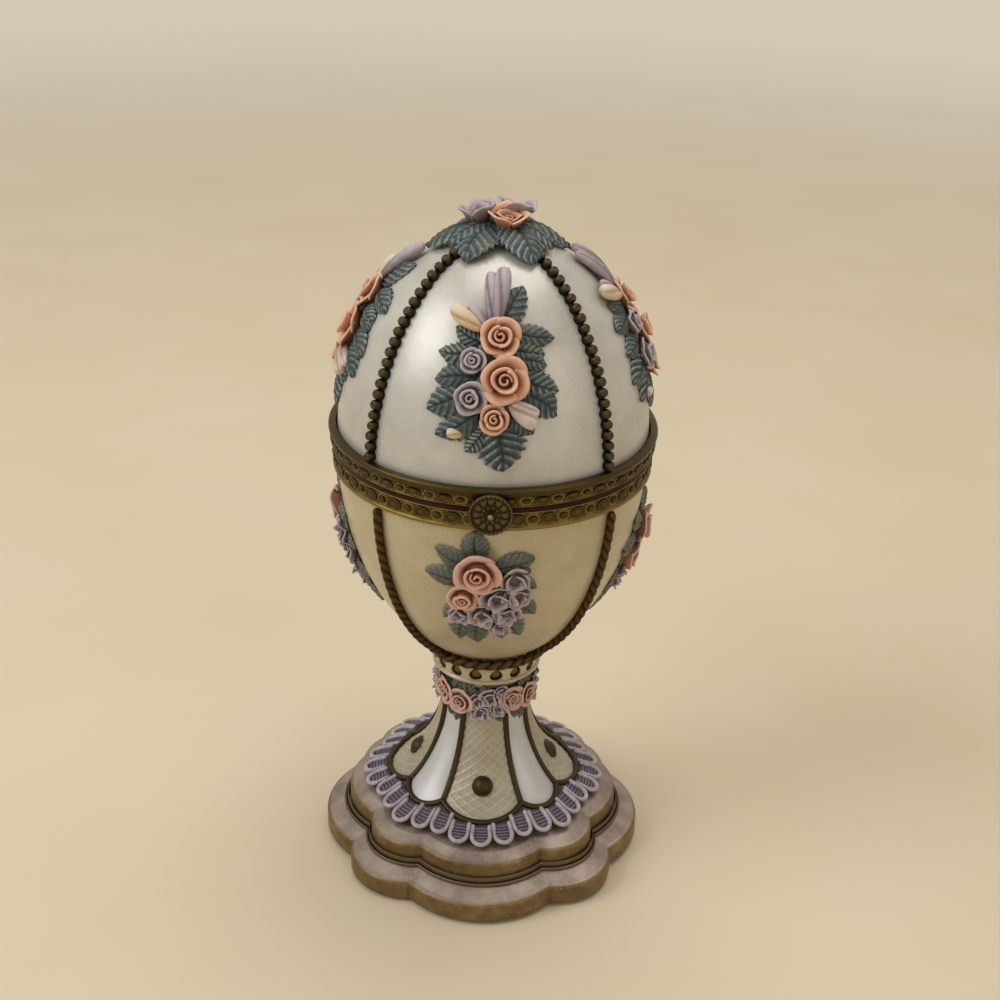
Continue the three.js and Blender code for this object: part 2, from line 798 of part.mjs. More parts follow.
// Pierced collar over its liner
function makeCollar() {
  const foot = neckTop - collarHeight;
  const sill = foot + collarSill;
  const waist = collarFootRadius - 0.2;
  const shell = revolveRing([
    [collarFootRadius - collarWall, foot], [collarFootRadius, foot], [waist, sill - fit],
    [collarMouthRadius, neckTop], [collarMouthRadius - collarWall, neckTop],
    [waist - collarWall, sill - fit],
  ], collarWindows);
  const outline = new THREE.Shape([[0, 0], [0.5, 0.35], [0, 1], [-0.5, 0.35]].map(
    ([x, y]) => new THREE.Vector2(x * windowWidth, y * windowHeight),
  ));
  const cutter = solid(new THREE.ExtrudeGeometry(outline, { depth: 4 * collarWall, bevelEnabled: false }));
  const windows = Array.from({ length: collarWindows }, (_, i) => {
    const turn = 2 * Math.PI * (i + 0.5) / collarWindows;
    return placed(cutter, {
      at: polar(collarFootRadius - 2.5 * collarWall, turn, sill),
      aside: new THREE.Vector3(Math.cos(turn), Math.sin(turn), 0),
      along: new THREE.Vector3(0, 0, 1),
      out: polar(1, turn, 0),
    }, 0);
  });
  addNode('collar', shell.subtract(join(windows)), cream);
  const outer = waist - collarWall - fit;
  addNode('collar_liner', revolveRing([
    [sleeveBore, foot], [outer, foot], [outer, neckTop], [sleeveBore, neckTop],
  ], collarWindows), oldGold);
}

// Bowl and lid: shells and linings
function makeBowl() {
  const outside = onProfile(bowlCurve, [0, 0.2, 0.4, 0.6, 0.8, 1]);
  const innerShares = [0.12, 0.32, 0.55, 0.8];
  const inside = insetProfile(bowlCurve, innerShares, shellWall);
  const shellTop = lowerBandTop - bandFlange - fit;
  addNode('bowl_shell', revolve([
    [0, bowlFoot], [bowlFootRadius - fit, bowlFoot], ...outside, [eggRadius, shellTop],
    [shellBore, shellTop], [shellBore, lowerBandFoot], ...flip(inside), [0, inside[0][1]],
  ], eggSteps), cream);

  const liningOut = insetProfile(bowlCurve, innerShares, shellWall + fit);
  const liningIn = insetProfile(bowlCurve, innerShares, shellWall + fit + liningWall);
  const lipOut = lowerBandReach - fit;
  addNode('bowl_lining', revolve([
    [0, liningOut[0][1]], ...liningOut, [liningReach, lowerBandFoot], [liningReach, lowerBandTop],
    [lipOut, lowerBandTop], [lipOut, lowerBandTop + liningLip], [liningBore, lowerBandTop + liningLip],
    [liningBore, lowerBandFoot], ...flip(liningIn), [0, liningIn[0][1]],
  ], eggSteps), burgundy);
}

function makeLid() {
  const outside = onProfile(lidCurve, [0, 0.18, 0.36, 0.53, 0.7, 0.86]);
  const innerShares = [0.2, 0.42, 0.62, 0.82];
  const inside = insetProfile(lidCurve, innerShares, shellWall);
  const lidFoot = upperBandFoot + bandFlange + fit;
  addNode('lid_shell', revolve([
    [0, lidTop], ...flip(outside), [eggRadius, lidFoot], [shellBore, lidFoot], [shellBore, upperBandTop],
    ...inside, [0, lidTop - shellWall],
  ], eggSteps), pearl);

  const liningOut = insetProfile(lidCurve, innerShares, shellWall + fit);
  const liningIn = insetProfile(lidCurve, innerShares, shellWall + fit + liningWall);
  addNode('lid_lining', revolve([
    [0, lidTop - shellWall - fit], ...flip(liningOut), [liningReach, upperBandTop],
    [liningReach, upperBandFoot], [liningBore, upperBandFoot], [liningBore, upperBandTop],
    ...liningIn, [0, lidTop - shellWall - fit - liningWall],
  ], eggSteps), burgundy);
}

// Bands: each wraps its shell's rim and turns in over it
const lipFoot = upperBandTop - lipHeight;

function makeBands() {
  const flangeIn = shellBore + fit;
  addNode('lower_band', revolveRing([
    [bandBore, lowerBandFoot], [lowerBandReach, lowerBandFoot],
    [lowerBandReach, lowerBandFoot + bandEdge - bandRecess],
    [lowerBandReach - bandRecess, lowerBandFoot + bandEdge], [lowerBandReach - bandRecess, lowerBandTop],
    [flangeIn, lowerBandTop], [flangeIn, lowerBandTop - bandFlange], [bandBore, lowerBandTop - bandFlange],
  ], eggSteps), brass);
  addNode('upper_band', revolveRing([
    [bandBore, upperBandFoot + bandFlange], [flangeIn, upperBandFoot + bandFlange],
    [flangeIn, upperBandFoot], [upperBandReach, upperBandFoot], [upperBandReach, lipFoot],
    [lipReach, lipFoot + bandLip], [lipReach, upperBandTop - bandLip], [upperBandReach, upperBandTop],
    [bandBore, upperBandTop],
  ], eggSteps), brass);
}

// Beaded ribs on the lid, rope ribs and a rope ring on the bowl
const ribPlaces = ['front_right', 'back_right', 'back_left', 'front_left'];

function makeLidRibs() {
  const length = lidCurve.getLength() - crownReach - beadRadius - fit;
  const beads = Math.round(length / beadPitch);
  ribPlaces.forEach((name, side) => {
    const turn = (side + 0.5) * quarterTurn + lidRibTurn;
    const sections = Array.from({ length: 2 * beads + 1 }, (_, i) => {
      const seat = seatBeside(lidCurve, { turn, height: fit + beadRadius }, [0, length * i / (2 * beads)]);
      const radius = i % 2 ? beadWaist : beadRadius;
      return section(lifted(seat, beadRadius + fit), seat.aside, seat.out, radius, radius, 4);
    });
    addNode(`lid_rib_${name}`, loft(sections), oldGold);
  });
}

function makeBowlRibs() {
  const foot = 2 * ropeRadius + 2 * fit;
  const length = bowlCurve.getLength() - foot - fit;
  const steps = 8;
  ribPlaces.forEach((name, side) => {
    const turn = (side + 0.5) * quarterTurn + bowlRibTurn;
    const sections = Array.from({ length: steps + 1 }, (_, i) => {
      const seat = seatBeside(bowlCurve, { turn, height: foot }, [0, length * i / steps]);
      const middle = lifted(seat, bowlRibRadius + fit);
      return section(middle, seat.aside, seat.out, bowlRibRadius, bowlRibRadius, 4);
    });
    addNode(`bowl_rib_${name}`, loft(sections), oldGold);
  });
  const ringRadius = bowlFootRadius + ropeRadius + fit / 2;
  addNode('rope_ring', revolveRing(Array.from({ length: 5 }, (_, i) => [
    ringRadius + ropeRadius * Math.cos(2 * Math.PI * i / 5),
    bowlFoot + fit + ropeRadius * Math.sin(2 * Math.PI * i / 5),
  ]), eggSteps), oldGold);
}

// Hinge at the back: two leaves with knuckles, and the pin
const pinBore = pinRadius + fit;
const knuckleRadius = pinBore + knuckleWall;
const hingeY = lipReach + fit + knuckleRadius;

function onHingeLine(body) {
  return body.rotate([0, 90, 0]).translate([0, hingeY, closingLine]);
}

function knuckle(from, to) {
  return onHingeLine(revolveRing([
    [pinBore, from], [knuckleRadius, from], [knuckleRadius, to], [pinBore, to],
  ], 8));
}

function hingeLeaf(inner, foot) {
  const outer = inner + hingeLeafWall;
  return loft([-1, -0.5, 0, 0.5, 1].map((part) => {
    const turn = Math.PI + part * hingeLeafHalf;
    return [
      polar(inner, turn, foot), polar(outer, turn, foot),
      polar(outer, turn, foot + hingeLeafHeight), polar(inner, turn, foot + hingeLeafHeight),
    ];
  }));
}

// Flat strap from a leaf to its knuckle.
function strap(from, to, near, foot, top) {
  const far = hingeY - pinBore;
  const box = new THREE.BoxGeometry(to - from, far - near, top - foot);
  return solid(box.translate((from + to) / 2, (near + far) / 2, (foot + top) / 2));
}

function makeHinge() {
  const inside = middleKnuckle / 2;
  const sideFrom = inside + fit;
  const sideTo = sideFrom + sideKnuckle;
  const lowerInner = lowerBandReach + fit;
  const lowerFoot = lowerBandFoot + bandEdge;
  const sides = [[-sideTo, -sideFrom], [sideFrom, sideTo]];
  addNode('lower_hinge_leaf', join([
    hingeLeaf(lowerInner, lowerFoot),
    ...sides.map(([from, to]) => strap(from, to, lowerInner + fit / 2, lowerFoot + fit, closingLine - fit)),
    ...sides.map(([from, to]) => knuckle(from, to)),
  ]), brass);

  const upperInner = upperBandReach + fit;
  const upperFoot = lipFoot - fit - hingeLeafHeight;
  addNode('upper_hinge_leaf', join([
    hingeLeaf(upperInner, upperFoot),
    strap(-inside, inside, upperInner + fit / 2, closingLine + fit, upperFoot + hingeLeafHeight - fit),
    knuckle(-inside, inside),
  ]), brass);

  const headFrom = sideTo + fit;
  const headTo = headFrom + pinHeadLength;
  addNode('hinge_pin', onHingeLine(revolve([
    [0, -headTo], [0.7 * pinHead, -headTo], [pinHead, -headFrom], [pinRadius, -headFrom],
    [pinRadius, headFrom], [pinHead, headFrom], [0.7 * pinHead, headTo], [0, headTo],
  ], 8)), brass);
}

// Clasp: a rosette on the upper band that snaps over a catch on the lower one
function makeClasp() {
  const back = lipReach + fit;
  const ring = (share, depth) => Array.from({ length: 2 * claspPetals }, (_, i) => {
    const angle = Math.PI * i / claspPetals;
    const reach = claspRadius * share * (i % 2 ? 0.92 : 1);
    return new THREE.Vector3(
      reach * Math.cos(angle),
      -back - depth * claspThickness,
      closingLine + reach * Math.sin(angle),
    );
  });
  addNode('clasp_medallion', loft([ring(0.97, 0), ring(1, 0.5), ring(0.5, 1)]), oldGold);
  const onFront = (body, reach, height) => body.rotate([90, 0, 0]).translate([0, -reach, height]);
  const bead = dome(claspBead, claspBeadHeight, 8);
  addNode('medallion_bead', onFront(bead, back + claspThickness + fit, closingLine), oldGold);
  const stud = dome(catchRadius, catchHeight, 8);
  const catchSpot = lowerBandFoot + (bandEdge + lowerBandHeight) / 2;
  addNode('catch_stud', onFront(stud, lowerBandReach - bandRecess + fit, catchSpot), brass);
}

// Crown: six leaves that hang over the lid as [turn, length, width] and three open roses as
// [turn, reach, finish], in degrees and spray units
const crownLeaves = [
  [-30, 11.6, 7.0], [31, 12.0, 6.6], [98, 13.2, 6.6], [156, 12.0, 7.0], [-150, 12.0, 7.0], [-86, 13.2, 6.6],
];
const crownRoses = {
  front: [37, 2.6, peach],
  left: [-93, 4.5, lilac],
  right: [131, 4.9, lilac],
};

// Mound that the crown's leaves lie on: it meets the lid at its foot.
function makeCrownCurve() {
  const foot = lidCurve.getPointAt(1 - crownSpread / lidCurve.getLength());
  const top = lidTop + crownMound;
  const rise = top - foot.y;
  return curve(
    [foot.x, foot.y],
    [0.85 * foot.x, foot.y + 0.44 * rise],
    [0.54 * foot.x, top],
    [0, top],
  );
}

function makeCrown() {
  const crownCurve = makeCrownCurve();
  const hubFoot = lidTop + fit;
  const hubTop = hubFoot + crownMound + leafThickness;
  const hub = revolve([[0, hubFoot], [crownHub, hubFoot], [crownHub, hubTop], [0, hubTop]], 8);
  const leaves = crownLeaves.map(([turn, length, width]) => {
    const origin = { turn: degrees(turn), height: crownCurve.getLength() };
    return leaf(crownCurve, origin, [0, -crownHub / 2], [0, -length * sprayUnit], width * sprayUnit);
  });
  addNode('crown_leaves', join([hub, ...leaves]), leafGreen);

  const foot = lidTop + crownMound + flowerLift;
  const rose = (name, grow) => {
    const [turn, reach] = crownRoses[name];
    const body = openRose(crownRoseRadius + grow, crownRoseDepth + 2 * grow);
    return body.translate(polar(reach * sprayUnit, degrees(turn), foot - grow).toArray());
  };
  const roses = {
    front: rose('front', 0),
    left: rose('left', 0).subtract(rose('front', fit)),
    right: rose('right', 0).subtract(rose('front', fit)).subtract(rose('left', fit)),
  };
  for (const [name, body] of Object.entries(roses)) {
    addNode(`crown_rose_${name}`, body, crownRoses[name][2]);
  }
}

makePlinth();
makeLaceGround();
makeLaceLoops();
makeFoot();
makeFootWires();
makeStuds();
makeGarland();
makeCollar();
makeBowl();
makeBowlRibs();
makeLid();
makeLidRibs();
makeBands();
makeHinge();
makeClasp();
makeSprays();
makeCrown();

export default group;
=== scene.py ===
# %% [markdown]
# # An egg trinket box on a flared foot
#
# The real box is cast resin, painted by hand, with a brass rim and hinge. Its egg opens at the rim.
# The frame holds every piece at its true size and place. This lesson dresses those pieces: each cell
# says what a piece is, how it could be made, and why this way was chosen.

# %% Load the frame
import math
import random

import bmesh
import bpy
import numpy as np
from mathutils import Matrix, Vector


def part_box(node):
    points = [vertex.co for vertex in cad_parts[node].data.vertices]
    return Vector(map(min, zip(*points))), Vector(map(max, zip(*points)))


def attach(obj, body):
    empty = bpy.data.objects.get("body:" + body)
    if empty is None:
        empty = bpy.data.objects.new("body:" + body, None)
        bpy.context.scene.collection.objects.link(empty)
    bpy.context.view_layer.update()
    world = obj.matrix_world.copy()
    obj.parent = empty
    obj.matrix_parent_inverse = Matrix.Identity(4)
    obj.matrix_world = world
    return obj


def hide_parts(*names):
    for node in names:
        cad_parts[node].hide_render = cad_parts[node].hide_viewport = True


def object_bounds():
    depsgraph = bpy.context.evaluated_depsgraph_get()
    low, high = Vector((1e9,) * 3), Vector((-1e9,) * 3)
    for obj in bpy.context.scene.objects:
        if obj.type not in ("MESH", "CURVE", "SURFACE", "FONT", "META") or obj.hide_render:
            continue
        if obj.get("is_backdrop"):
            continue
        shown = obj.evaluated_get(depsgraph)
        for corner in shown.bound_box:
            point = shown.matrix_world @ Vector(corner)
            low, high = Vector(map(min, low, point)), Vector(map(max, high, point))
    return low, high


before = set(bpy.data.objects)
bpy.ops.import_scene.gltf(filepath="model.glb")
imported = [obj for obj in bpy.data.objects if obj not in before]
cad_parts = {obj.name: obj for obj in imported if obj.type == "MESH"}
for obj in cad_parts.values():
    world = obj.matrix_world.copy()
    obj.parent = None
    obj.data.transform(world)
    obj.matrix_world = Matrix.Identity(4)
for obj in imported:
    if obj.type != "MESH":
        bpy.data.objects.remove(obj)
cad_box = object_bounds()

# %% [markdown]
# ## Sizes
#
# Sizes are written in millimetres, as they were measured, and become metres when a mesh is made.
# The large ones are read from the frame, so a change there carries over to the looks.

# %% Sizes read from the frame
MM = 0.001
FIT = 0.3        # room between two glued pieces


def low_of(node):
    return [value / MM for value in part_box(node)[0]]


def high_of(node):
    return [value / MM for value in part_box(node)[1]]


EGG_RADIUS = high_of("lid_shell")[0]
LID_TOP = high_of("lid_shell")[2]
UPPER_FOOT, UPPER_TOP = low_of("upper_band")[2], high_of("upper_band")[2]
LOWER_FOOT, LOWER_TOP = low_of("lower_band")[2], high_of("lower_band")[2]
CLOSING_LINE = (UPPER_FOOT + LOWER_TOP) / 2
LIP_REACH = high_of("upper_band")[0]
LOWER_REACH = high_of("lower_band")[0]
BOWL_FOOT = low_of("bowl_shell")[2]
TIER_TOP = high_of("upper_plinth")[2]
PLINTH_REACH = high_of("lower_plinth")[0]
TIER_REACH = high_of("upper_plinth")[0]
NECK_TOP = high_of("flared_foot")[2]
print("egg radius, lid top and plinth reach:", np.round([EGG_RADIUS, LID_TOP, PLINTH_REACH], 2))

# %% [markdown]
# ## Profiles
#
# The flare, the bowl and the lid are turned forms, so one curve in radius and height describes each.
# A cubic curve needs only four points: its ends and two pulls, which are given as shares of the way
# between the ends, across and up. It is sampled by its length, because beads, leaves and roses are
# spaced in millimetres along the surface.

# %% Profiles of the flare, the bowl and the lid
CURVE_POINTS = 800


class Profile:
    """A curve in radius and height that can be walked by its length."""

    def __init__(self, start, start_pull, end_pull, end):
        start, end = np.array(start, float), np.array(end, float)
        pulls = [start + np.array(pull) * (end - start) for pull in (start_pull, end_pull)]
        share = np.linspace(0, 1, CURVE_POINTS)[:, None]
        weights = [(1 - share) ** 3, 3 * share * (1 - share) ** 2, 3 * share ** 2 * (1 - share), share ** 3]
        self.points = sum(weight * point for weight, point in zip(weights, (start, *pulls, end)))
        steps = np.linalg.norm(np.diff(self.points, axis=0), axis=1)
        self.run = np.concatenate([[0], np.cumsum(steps)])
        self.length = self.run[-1]
        slope = np.gradient(self.points, self.run, axis=0)
        self.slope = slope / np.linalg.norm(slope, axis=1)[:, None]

    def at(self, run):
        """Radius and height at a length, and the direction there."""
        place = [np.interp(run, self.run, self.points[:, k]) for k in (0, 1)]
        heading = [np.interp(run, self.run, self.slope[:, k]) for k in (0, 1)]
        return place + heading

    def inset(self, share, distance):
        """Points moved inwards, square to the curve."""
        radius, height, dr, dz = self.at(np.asarray(share) * self.length)
        return np.stack([radius - dz * distance, height + dr * distance], -1)


NECK_RADIUS = 9.0
FLARE_FOOT = TIER_TOP + 0.6
FLARE_HEIGHT = 23.0
LACE_REACH = TIER_REACH - 3.0
flare_foot, flare_top = (LACE_REACH - FIT, FLARE_FOOT), (NECK_RADIUS, FLARE_FOOT + FLARE_HEIGHT)
flare = Profile(flare_foot, (0.51, 0.087), (0.963, 0.39), flare_top)
BOWL_FOOT_RADIUS = 11.4
ROPE_RADIUS = 1.0
BOWL_CURVE_FOOT = BOWL_FOOT + FIT + ROPE_RADIUS
bowl = Profile((BOWL_FOOT_RADIUS, BOWL_CURVE_FOOT), (0.59, 0.168), (0.968, 0.57), (EGG_RADIUS, LOWER_FOOT))
lid = Profile((EGG_RADIUS, UPPER_TOP), (0.017, 0.418), (0.321, 1), (0, LID_TOP))
CROWN_SPREAD = 13.4      # apex to where the crown's mound meets the lid
CROWN_TOP = LID_TOP + 1.4
mound = Profile(lid.at(lid.length - CROWN_SPREAD)[:2], (0.15, 0.44), (0.46, 1), (0, CROWN_TOP))
NECK_FOOT = 30.0         # above this the foot is a straight neck
neck = Profile((NECK_RADIUS, NECK_FOOT), (0, 1 / 3), (0, 2 / 3), (NECK_RADIUS, NECK_TOP))
print("lengths of flare, bowl, lid:", [round(curve.length, 1) for curve in (flare, bowl, lid)])

# %% [markdown]
# ## Laying relief on a curved surface
#
# Leaves and flowers were pressed flat and then bent over the egg. The same is done here: a shape is
# drawn flat, in millimetres sideways, upwards and outwards, and then laid on a profile. Round
# heads keep their shape better when they are set down whole on a small frame, so there are two ways.

# %% Lay and set down
NEAR_AXIS = 2.0          # relief is never bent tighter than this radius


def points_of(x, y, z):
    """Points from three grids that fit each other."""
    return np.stack(np.broadcast_arrays(x, y, z), -1)


def full_turn(steps):
    """Even turns once round, as a column."""
    return 2 * math.pi * np.arange(steps)[:, None] / steps


def polar(radius, turn, height):
    """A point by radius, turn from the front towards +X, and height."""
    return points_of(radius * np.sin(turn), -radius * np.cos(turn), height)


def lay(profile, turn, run, flat):
    """Bend flat points over a profile, from a place on it."""
    radius, height, dr, dz = profile.at(run + flat[..., 1])
    angle = turn + flat[..., 0] / np.maximum(radius, NEAR_AXIS)
    return polar(radius + flat[..., 2] * dz, angle, height - flat[..., 2] * dr)


def set_down(profile, turn, run, offset, shape, lift=0.0):
    """Set points down whole at a place on a profile, upright along it."""
    radius, height, dr, dz = profile.at(run + offset[1])
    angle = turn + offset[0] / max(float(radius), NEAR_AXIS)
    aside = np.array([math.cos(angle), math.sin(angle), 0])
    along = np.array([dr * math.sin(angle), -dr * math.cos(angle), dz])
    out = np.cross(aside, along)
    place = polar(radius, angle, height) + lift * out
    return place + shape[..., :1] * aside + shape[..., 1:2] * along + shape[..., 2:3] * out


print("halfway up the lid's front:", np.round(lay(lid, 0, lid.length / 2, np.zeros(3)), 1))

# %% [markdown]
# ## Meshes from grids
#
# Almost every form here is a grid of points: a turned shell, a petal, a cord or a leaf. A batch joins
# the grids of one piece. A number per point, called paint, says how deep in the relief it lies. The
# finishes use it to make the relief darker where it lies deep and paler where it stands out; on the
# flowers and buds that is painted shade in the hollows and a painted highlight on the rims.

# %% Grids and batches


def grid_faces(rows, columns, close_rows=False, close_columns=False):
    index = np.arange(rows * columns).reshape(rows, columns)
    if close_rows:
        index = np.vstack([index, index[:1]])
    if close_columns:
        index = np.hstack([index, index[:, :1]])
    quads = [index[:-1, :-1], index[1:, :-1], index[1:, 1:], index[:-1, 1:]]
    return np.stack(quads, -1).reshape(-1, 4)


class Batch:
    """Grids that together become one object."""

    def __init__(self):
        self.points, self.faces, self.paint = [], [], []
        self.count = 0

    def add(self, points, paint=0.5, close_rows=False, close_columns=False):
        rows, columns = points.shape[:2]
        faces = grid_faces(rows, columns, close_rows, close_columns) + self.count
        self.points.append(points.reshape(-1, 3))
        self.faces.extend(faces.tolist())
        self.paint.append(np.broadcast_to(paint, (rows, columns)).reshape(-1))
        self.count += rows * columns


print("faces of a ring of 4 by 3 points:", len(grid_faces(4, 3, close_rows=True)))

# %% [markdown]
# ## Pieces
#
# A batch becomes one object. Points that coincide are welded, and the object rides on the body that
# carries it, so that it moves with the lid or stays with the stand. Modifiers give thin sheets a
# thickness and soften edges, and they stay live, so that the sheets are easy to change.

# %% Make a piece
WELD = 0.004             # millimetres within which points are one


def link_object(name, data):
    """New object in the scene."""
    made = bpy.data.objects.new(name, data)
    bpy.context.scene.collection.objects.link(made)
    return made


def close_up(mesh):
    """Weld the points that coincide and turn every face outwards."""
    work = bmesh.new()
    work.from_mesh(mesh)
    bmesh.ops.remove_doubles(work, verts=work.verts, dist=WELD * MM)
    loose = [vertex for vertex in work.verts if not vertex.link_faces]
    bmesh.ops.delete(work, geom=loose, context="VERTS")
    bmesh.ops.recalc_face_normals(work, faces=work.faces)
    work.to_mesh(mesh)
    work.free()


def make_piece(name, batch, finish, body, stands_for=(), sharp=None, thickness=0, rounds=0, bevel=0):
    mesh = bpy.data.meshes.new(name)
    points = np.concatenate(batch.points) * MM
    mesh.from_pydata(points.tolist(), [], batch.faces)
    layer = mesh.attributes.new("paint", "FLOAT", "POINT")
    layer.data.foreach_set("value", np.concatenate(batch.paint).astype(np.float32))
    close_up(mesh)
    mesh.shade_smooth()
    if sharp:
        mesh.set_sharp_from_angle(angle=math.radians(sharp))
    piece = link_object(name, mesh)
    mesh.materials.append(finish)
    if thickness:
        skin = piece.modifiers.new("thickness", "SOLIDIFY")
        skin.thickness = thickness * MM
        skin.offset = 0
    if bevel:
        edge = piece.modifiers.new("edges", "BEVEL")
        edge.width = bevel * MM
        edge.segments = 2
        edge.limit_method = "ANGLE"
    if rounds:
        soft = piece.modifiers.new("rounding", "SUBSURF")
        soft.levels = rounds
        soft.render_levels = rounds
    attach(piece, body)
    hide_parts(*stands_for)
    return piece


# %% [markdown]
# ## Turned forms
#
# Shells, bands and the hinge's knuckles are sections turned about an axis. Their corners are rounded in
# the section, because a cast or stamped edge is never quite sharp and a round one catches the light.

# %% Soften and turn a section


def soften(corners, radius, steps=4):
    """Round the corners of a closed outline."""
    corners = np.asarray(corners, float)
    outline = []
    for before, corner, after in zip(np.roll(corners, 1, 0), corners, np.roll(corners, -1, 0)):
        ends = []
        for other in (before, after):
            reach = np.linalg.norm(other - corner)
            ends.append(corner + (other - corner) * min(radius / reach, 0.45))
        for share in np.linspace(0, 1, steps):
            outline.append(
                (1 - share) ** 2 * ends[0] + 2 * share * (1 - share) * corner + share ** 2 * ends[1]
            )
    return np.array(outline)


def turned(section, steps=192):
    """Points of a section of radius and height, turned round the axis."""
    section = np.asarray(section, float)
    return polar(section[None, :, 0], full_turn(steps), section[None, :, 1])


def turned_batch(section, closed=True, paint=0.5, steps=192):
    batch = Batch()
    batch.add(turned(section, steps), paint, close_rows=True, close_columns=closed)
    return batch


print("points of a softened square:", len(soften([(0, 0), (1, 0), (1, 1), (0, 1)], 0.2)))

# %% [markdown]
# ## Cords and ropes
#
# The foot's outlines and the lace are round cords, and the bowl's ribs are twisted rope. A round section
# is swept along a path. For a rope the section has one swelling for each strand, and it turns as it goes.

# %% Sweep a cord


def sweep(path, out, radius, sides=12, closed=False, twist=0, strands=2, groove=0.3):
    """Rings round a path; twist is the length in which a rope turns once."""
    if closed:
        heading = np.roll(path, -1, 0) - np.roll(path, 1, 0)
    else:
        heading = np.gradient(path, axis=0)
    heading = heading / np.linalg.norm(heading, axis=1)[:, None]
    across = np.cross(heading, out)
    across = across / np.linalg.norm(across, axis=1)[:, None]
    rise = np.cross(across, heading)
    run = np.concatenate([[0], np.cumsum(np.linalg.norm(np.diff(path, axis=0), axis=1))])
    size = np.full(len(path), float(radius))
    if not closed:
        rest = np.clip(np.minimum(run, run[-1] - run) / radius, 0, 1)
        size = size * np.sqrt(np.clip(1 - (1 - rest) ** 2, 0, 1))
    angle = full_turn(sides).T
    reach = np.repeat(size[:, None], sides, 1)
    paint = np.full(reach.shape, 0.5)
    if twist:
        wave = np.abs(np.cos(strands / 2 * (angle - 2 * math.pi * run[:, None] / twist)))
        reach = reach * (1 - groove + groove * wave ** 0.7)
        paint = wave
    ring = across[:, None] * np.cos(angle)[..., None] + rise[:, None] * np.sin(angle)[..., None]
    return path[:, None] + reach[..., None] * ring, paint


def spaced(length, step, end):
    """Places along a cord, closer together at its round ends."""
    round_end = end * (1 - np.cos(np.linspace(0, math.pi / 2, 6)))
    middle = np.linspace(end, length - end, max(2, int((length - 2 * end) / step)) + 1)
    return np.concatenate([round_end[:-1], middle, length - round_end[-2::-1]])


print("rings on 20 mm of rope:", len(spaced(20, 0.16, 0.8)))

# %% [markdown]
# ## Finishes
#
# Colours are written as codes, as a painter's chart gives them. Blender's nodes expect linear values, so
# the codes are converted once, here.

# %% Colour codes


def colour(code):
    """A colour code as Blender's linear colour."""
    parts = [int(code[i:i + 2], 16) / 255 for i in (1, 3, 5)]
    linear = [p / 12.92 if p <= 0.04045 else ((p + 0.055) / 1.055) ** 2.4 for p in parts]
    return (*linear, 1)


print("linear middle grey:", round(colour("#808080")[0], 3))

# %% [markdown]
# Each finish is a small tree of nodes: colours that vary with the paint of the relief and with noise, a
# roughness that varies too, and a fine bump. A class keeps the trees short. Occlusion darkens what lies
# deep; on the enamels, the plinth, the foot, the lace, the leaves and the flowers that darkening is painted
# shade.

# %% A helper for finishes


class Finish:
    """A finish that is built up in steps."""

    def __init__(self, name, **sockets):
        self.material = bpy.data.materials.new(name)
        self.material.use_nodes = True
        self.tree = self.material.node_tree
        self.shader = self.tree.nodes["Principled BSDF"]
        for socket, value in sockets.items():
            self.shader.inputs[socket.replace("_", " ")].default_value = value
        self.place = self.node("ShaderNodeTexCoord").outputs["Object"]

    def node(self, kind, inputs=(), **settings):
        made = self.tree.nodes.new(kind)
        for key, value in settings.items():
            setattr(made, key, value)
        for key, value in dict(inputs).items():
            if isinstance(value, bpy.types.NodeSocket):
                self.tree.links.new(value, made.inputs[key])
            else:
                made.inputs[key].default_value = value
        return made

    def noise(self, size, detail=3.0, rough=0.55):
        """Cloudy grain whose features measure about size, in millimetres."""
        inputs = {"Vector": self.place, "Scale": 1 / (size * MM), "Detail": detail, "Roughness": rough}
        return self.node("ShaderNodeTexNoise", inputs).outputs[0]

    def paint(self):
        return self.node("ShaderNodeAttribute", attribute_name="paint").outputs["Fac"]

    def depth(self, reach=1.0):
        """1 in the open, 0 in deep corners."""
        inputs = {"Distance": reach * MM}
        return self.node("ShaderNodeAmbientOcclusion", inputs, samples=6, only_local=True).outputs["AO"]

    def maths(self, operation, first, second):
        return self.node("ShaderNodeMath", {0: first, 1: second}, operation=operation).outputs[0]

    def mixed(self, share, first, second):
        """A blend of two numbers."""
        inputs = {0: share, 2: first, 3: second}
        return self.node("ShaderNodeMix", inputs, data_type="FLOAT").outputs[0]

    def ramp(self, value, stops):
        node = self.node("ShaderNodeValToRGB", {0: value})
        elements = node.color_ramp.elements
        while len(elements) < len(stops):
            elements.new(0.5)
        for element, (position, code) in zip(elements, stops):
            element.position = position
            element.color = colour(code) if isinstance(code, str) else (code, code, code, 1)
        return node.outputs[0]

    def tint(self, share, first, second):
        """A blend of two colours."""
        return self.node("ShaderNodeMix", {0: share, 6: first, 7: second}, data_type="RGBA").outputs[2]

    def over(self, shades, code, value, stops):
        """One more colour over the shades, as strong as a ramp of a value says."""
        return self.tint(self.ramp(value, stops), shades, colour(code))

    def join(self, socket, value):
        self.tree.links.new(value, self.shader.inputs[socket])

    def complete(self, shades, rough_by, least, most, relief, depth):
        """Join the colour, a roughness that follows a value, and a bump."""
        spread = self.node("ShaderNodeMapRange", {0: rough_by, 3: least, 4: most})
        bumped = self.node("ShaderNodeBump", {"Height": relief, "Distance": depth * MM, "Strength": 1.0})
        self.join("Base Color", shades)
        self.join("Roughness", spread.outputs[0])
        self.join("Normal", bumped.outputs[0])
        return self.material


print("steps of a finish:", [step for step in vars(Finish) if not step.startswith("_")])
